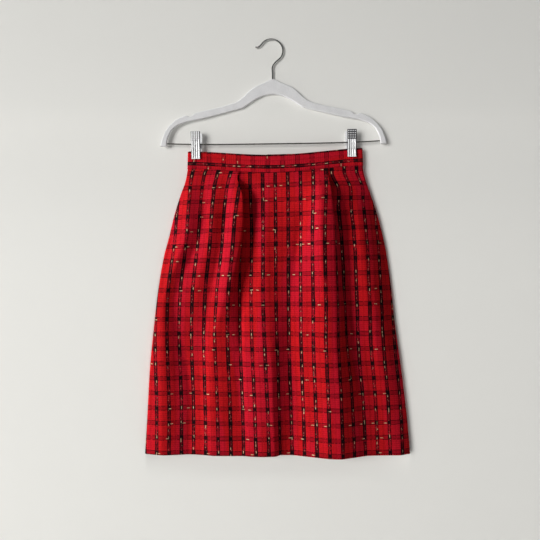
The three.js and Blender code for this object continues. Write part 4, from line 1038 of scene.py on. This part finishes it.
def plain_material(name, colour, one_sided=False):
    """A matt stage finish whose colour is painted a little darker upwards: painted shade. A one-sided sheet
    is clear from behind.
    """
    material, t, shader = new_material(name)
    up = t.ramp(t.own_place()[2], -0.5, 0.15)
    painted_shade_colour = tuple(STAGE_PAINTED_SHADE * c for c in colour[:3]) + (1,)
    t.fill(shader, {"Base Color": t.mix(up, colour, painted_shade_colour), "Roughness": 0.9, "Specular IOR Level": 0.1})
    if one_sided:
        choose = t.node("ShaderNodeMixShader")
        behind = t.node("ShaderNodeNewGeometry").outputs["Backfacing"]
        clear = t.node("ShaderNodeBsdfTransparent").outputs[0]
        for socket, value in zip(choose.inputs, (behind, shader.outputs[0], clear)):
            t.feed(socket, value)
        end = next(n for n in t.tree.nodes if n.type == "OUTPUT_MATERIAL")
        t.feed(end.inputs["Surface"], choose.outputs[0])
    return material


pale_wall = plain_material("pale wall", (0.72, 0.715, 0.69, 1), one_sided=True)
pale_floor = plain_material("pale floor", (0.7, 0.7, 0.69, 1))
backdrop = stage_sheet("backdrop", wall_points(), pale_wall)
backdrop.visible_shadow = False
sides = (-FLOOR_HALF, FLOOR_HALF)
stage_sheet("floor", np.array([[(x, y, FLOOR_Z) for x in sides] for y in sides]), pale_floor)


def area_light(name, place, aim, size, watts, colour=(1, 1, 1)):
    """A rectangular light at a place, turned to its aim."""
    data = bpy.data.lights.new(name, "AREA")
    data.shape = "RECTANGLE"
    data.size, data.size_y = size
    data.energy = watts
    data.color = colour
    made = add_object(name, data)
    made.location = place
    made.rotation_mode = "QUATERNION"
    made.rotation_quaternion = (Vector(aim) - Vector(place)).to_track_quat("-Z", "Y")
    return made


window = area_light("window", (-7.6, -3.15, 0.9), (0.05, 0, -0.45), (3.8, 3.2), 1200, (1, 0.99, 0.97))
area_light("back fill", (0.6, 2.6, 0.6), (0, 0, -0.5), (2.4, 2.0), 40)

# The wall has a softer light of its own, from further in front, and takes none from the window.
wash = area_light("wall wash", (-4.4, -5.6, 0.1), (0, 0, -0.45), (3.2, 3.2), 470, (1, 0.995, 0.975))
for lamp, state in ((window, "EXCLUDE"), (wash, "INCLUDE")):
    receivers = bpy.data.collections.new(f"{lamp.name} on the wall")
    receivers.objects.link(backdrop)
    receivers.collection_objects[0].light_linking.link_state = state
    lamp.light_linking.receiver_collection = receivers

world = bpy.data.worlds.new("room light")
bpy.context.scene.world = world
world.use_nodes = True
background = world.node_tree.nodes["Background"]
background.inputs["Color"].default_value = (0.93, 0.95, 1, 1)
background.inputs["Strength"].default_value = 0.13

# The camera sees half the picture's 540 pixels on each side, 1.969 mm to a pixel at the garment.
CAMERA_AWAY = 1.05
HALF_SENSOR = 18
HALF_PICTURE = 270
PIXEL_MM = 1.969
camera_data = bpy.data.cameras.new("camera")
camera_data.sensor_width = 2 * HALF_SENSOR
camera_data.lens = HALF_SENSOR * CAMERA_AWAY / (HALF_PICTURE * PIXEL_MM * MM)
camera = add_object("camera", camera_data)
camera.location = (-0.002, -CAMERA_AWAY, -0.4531)
camera.rotation_euler = (QUARTER_TURN, 0, 0)
bpy.context.scene.camera = camera
bpy.context.scene.view_settings.view_transform = "Standard"
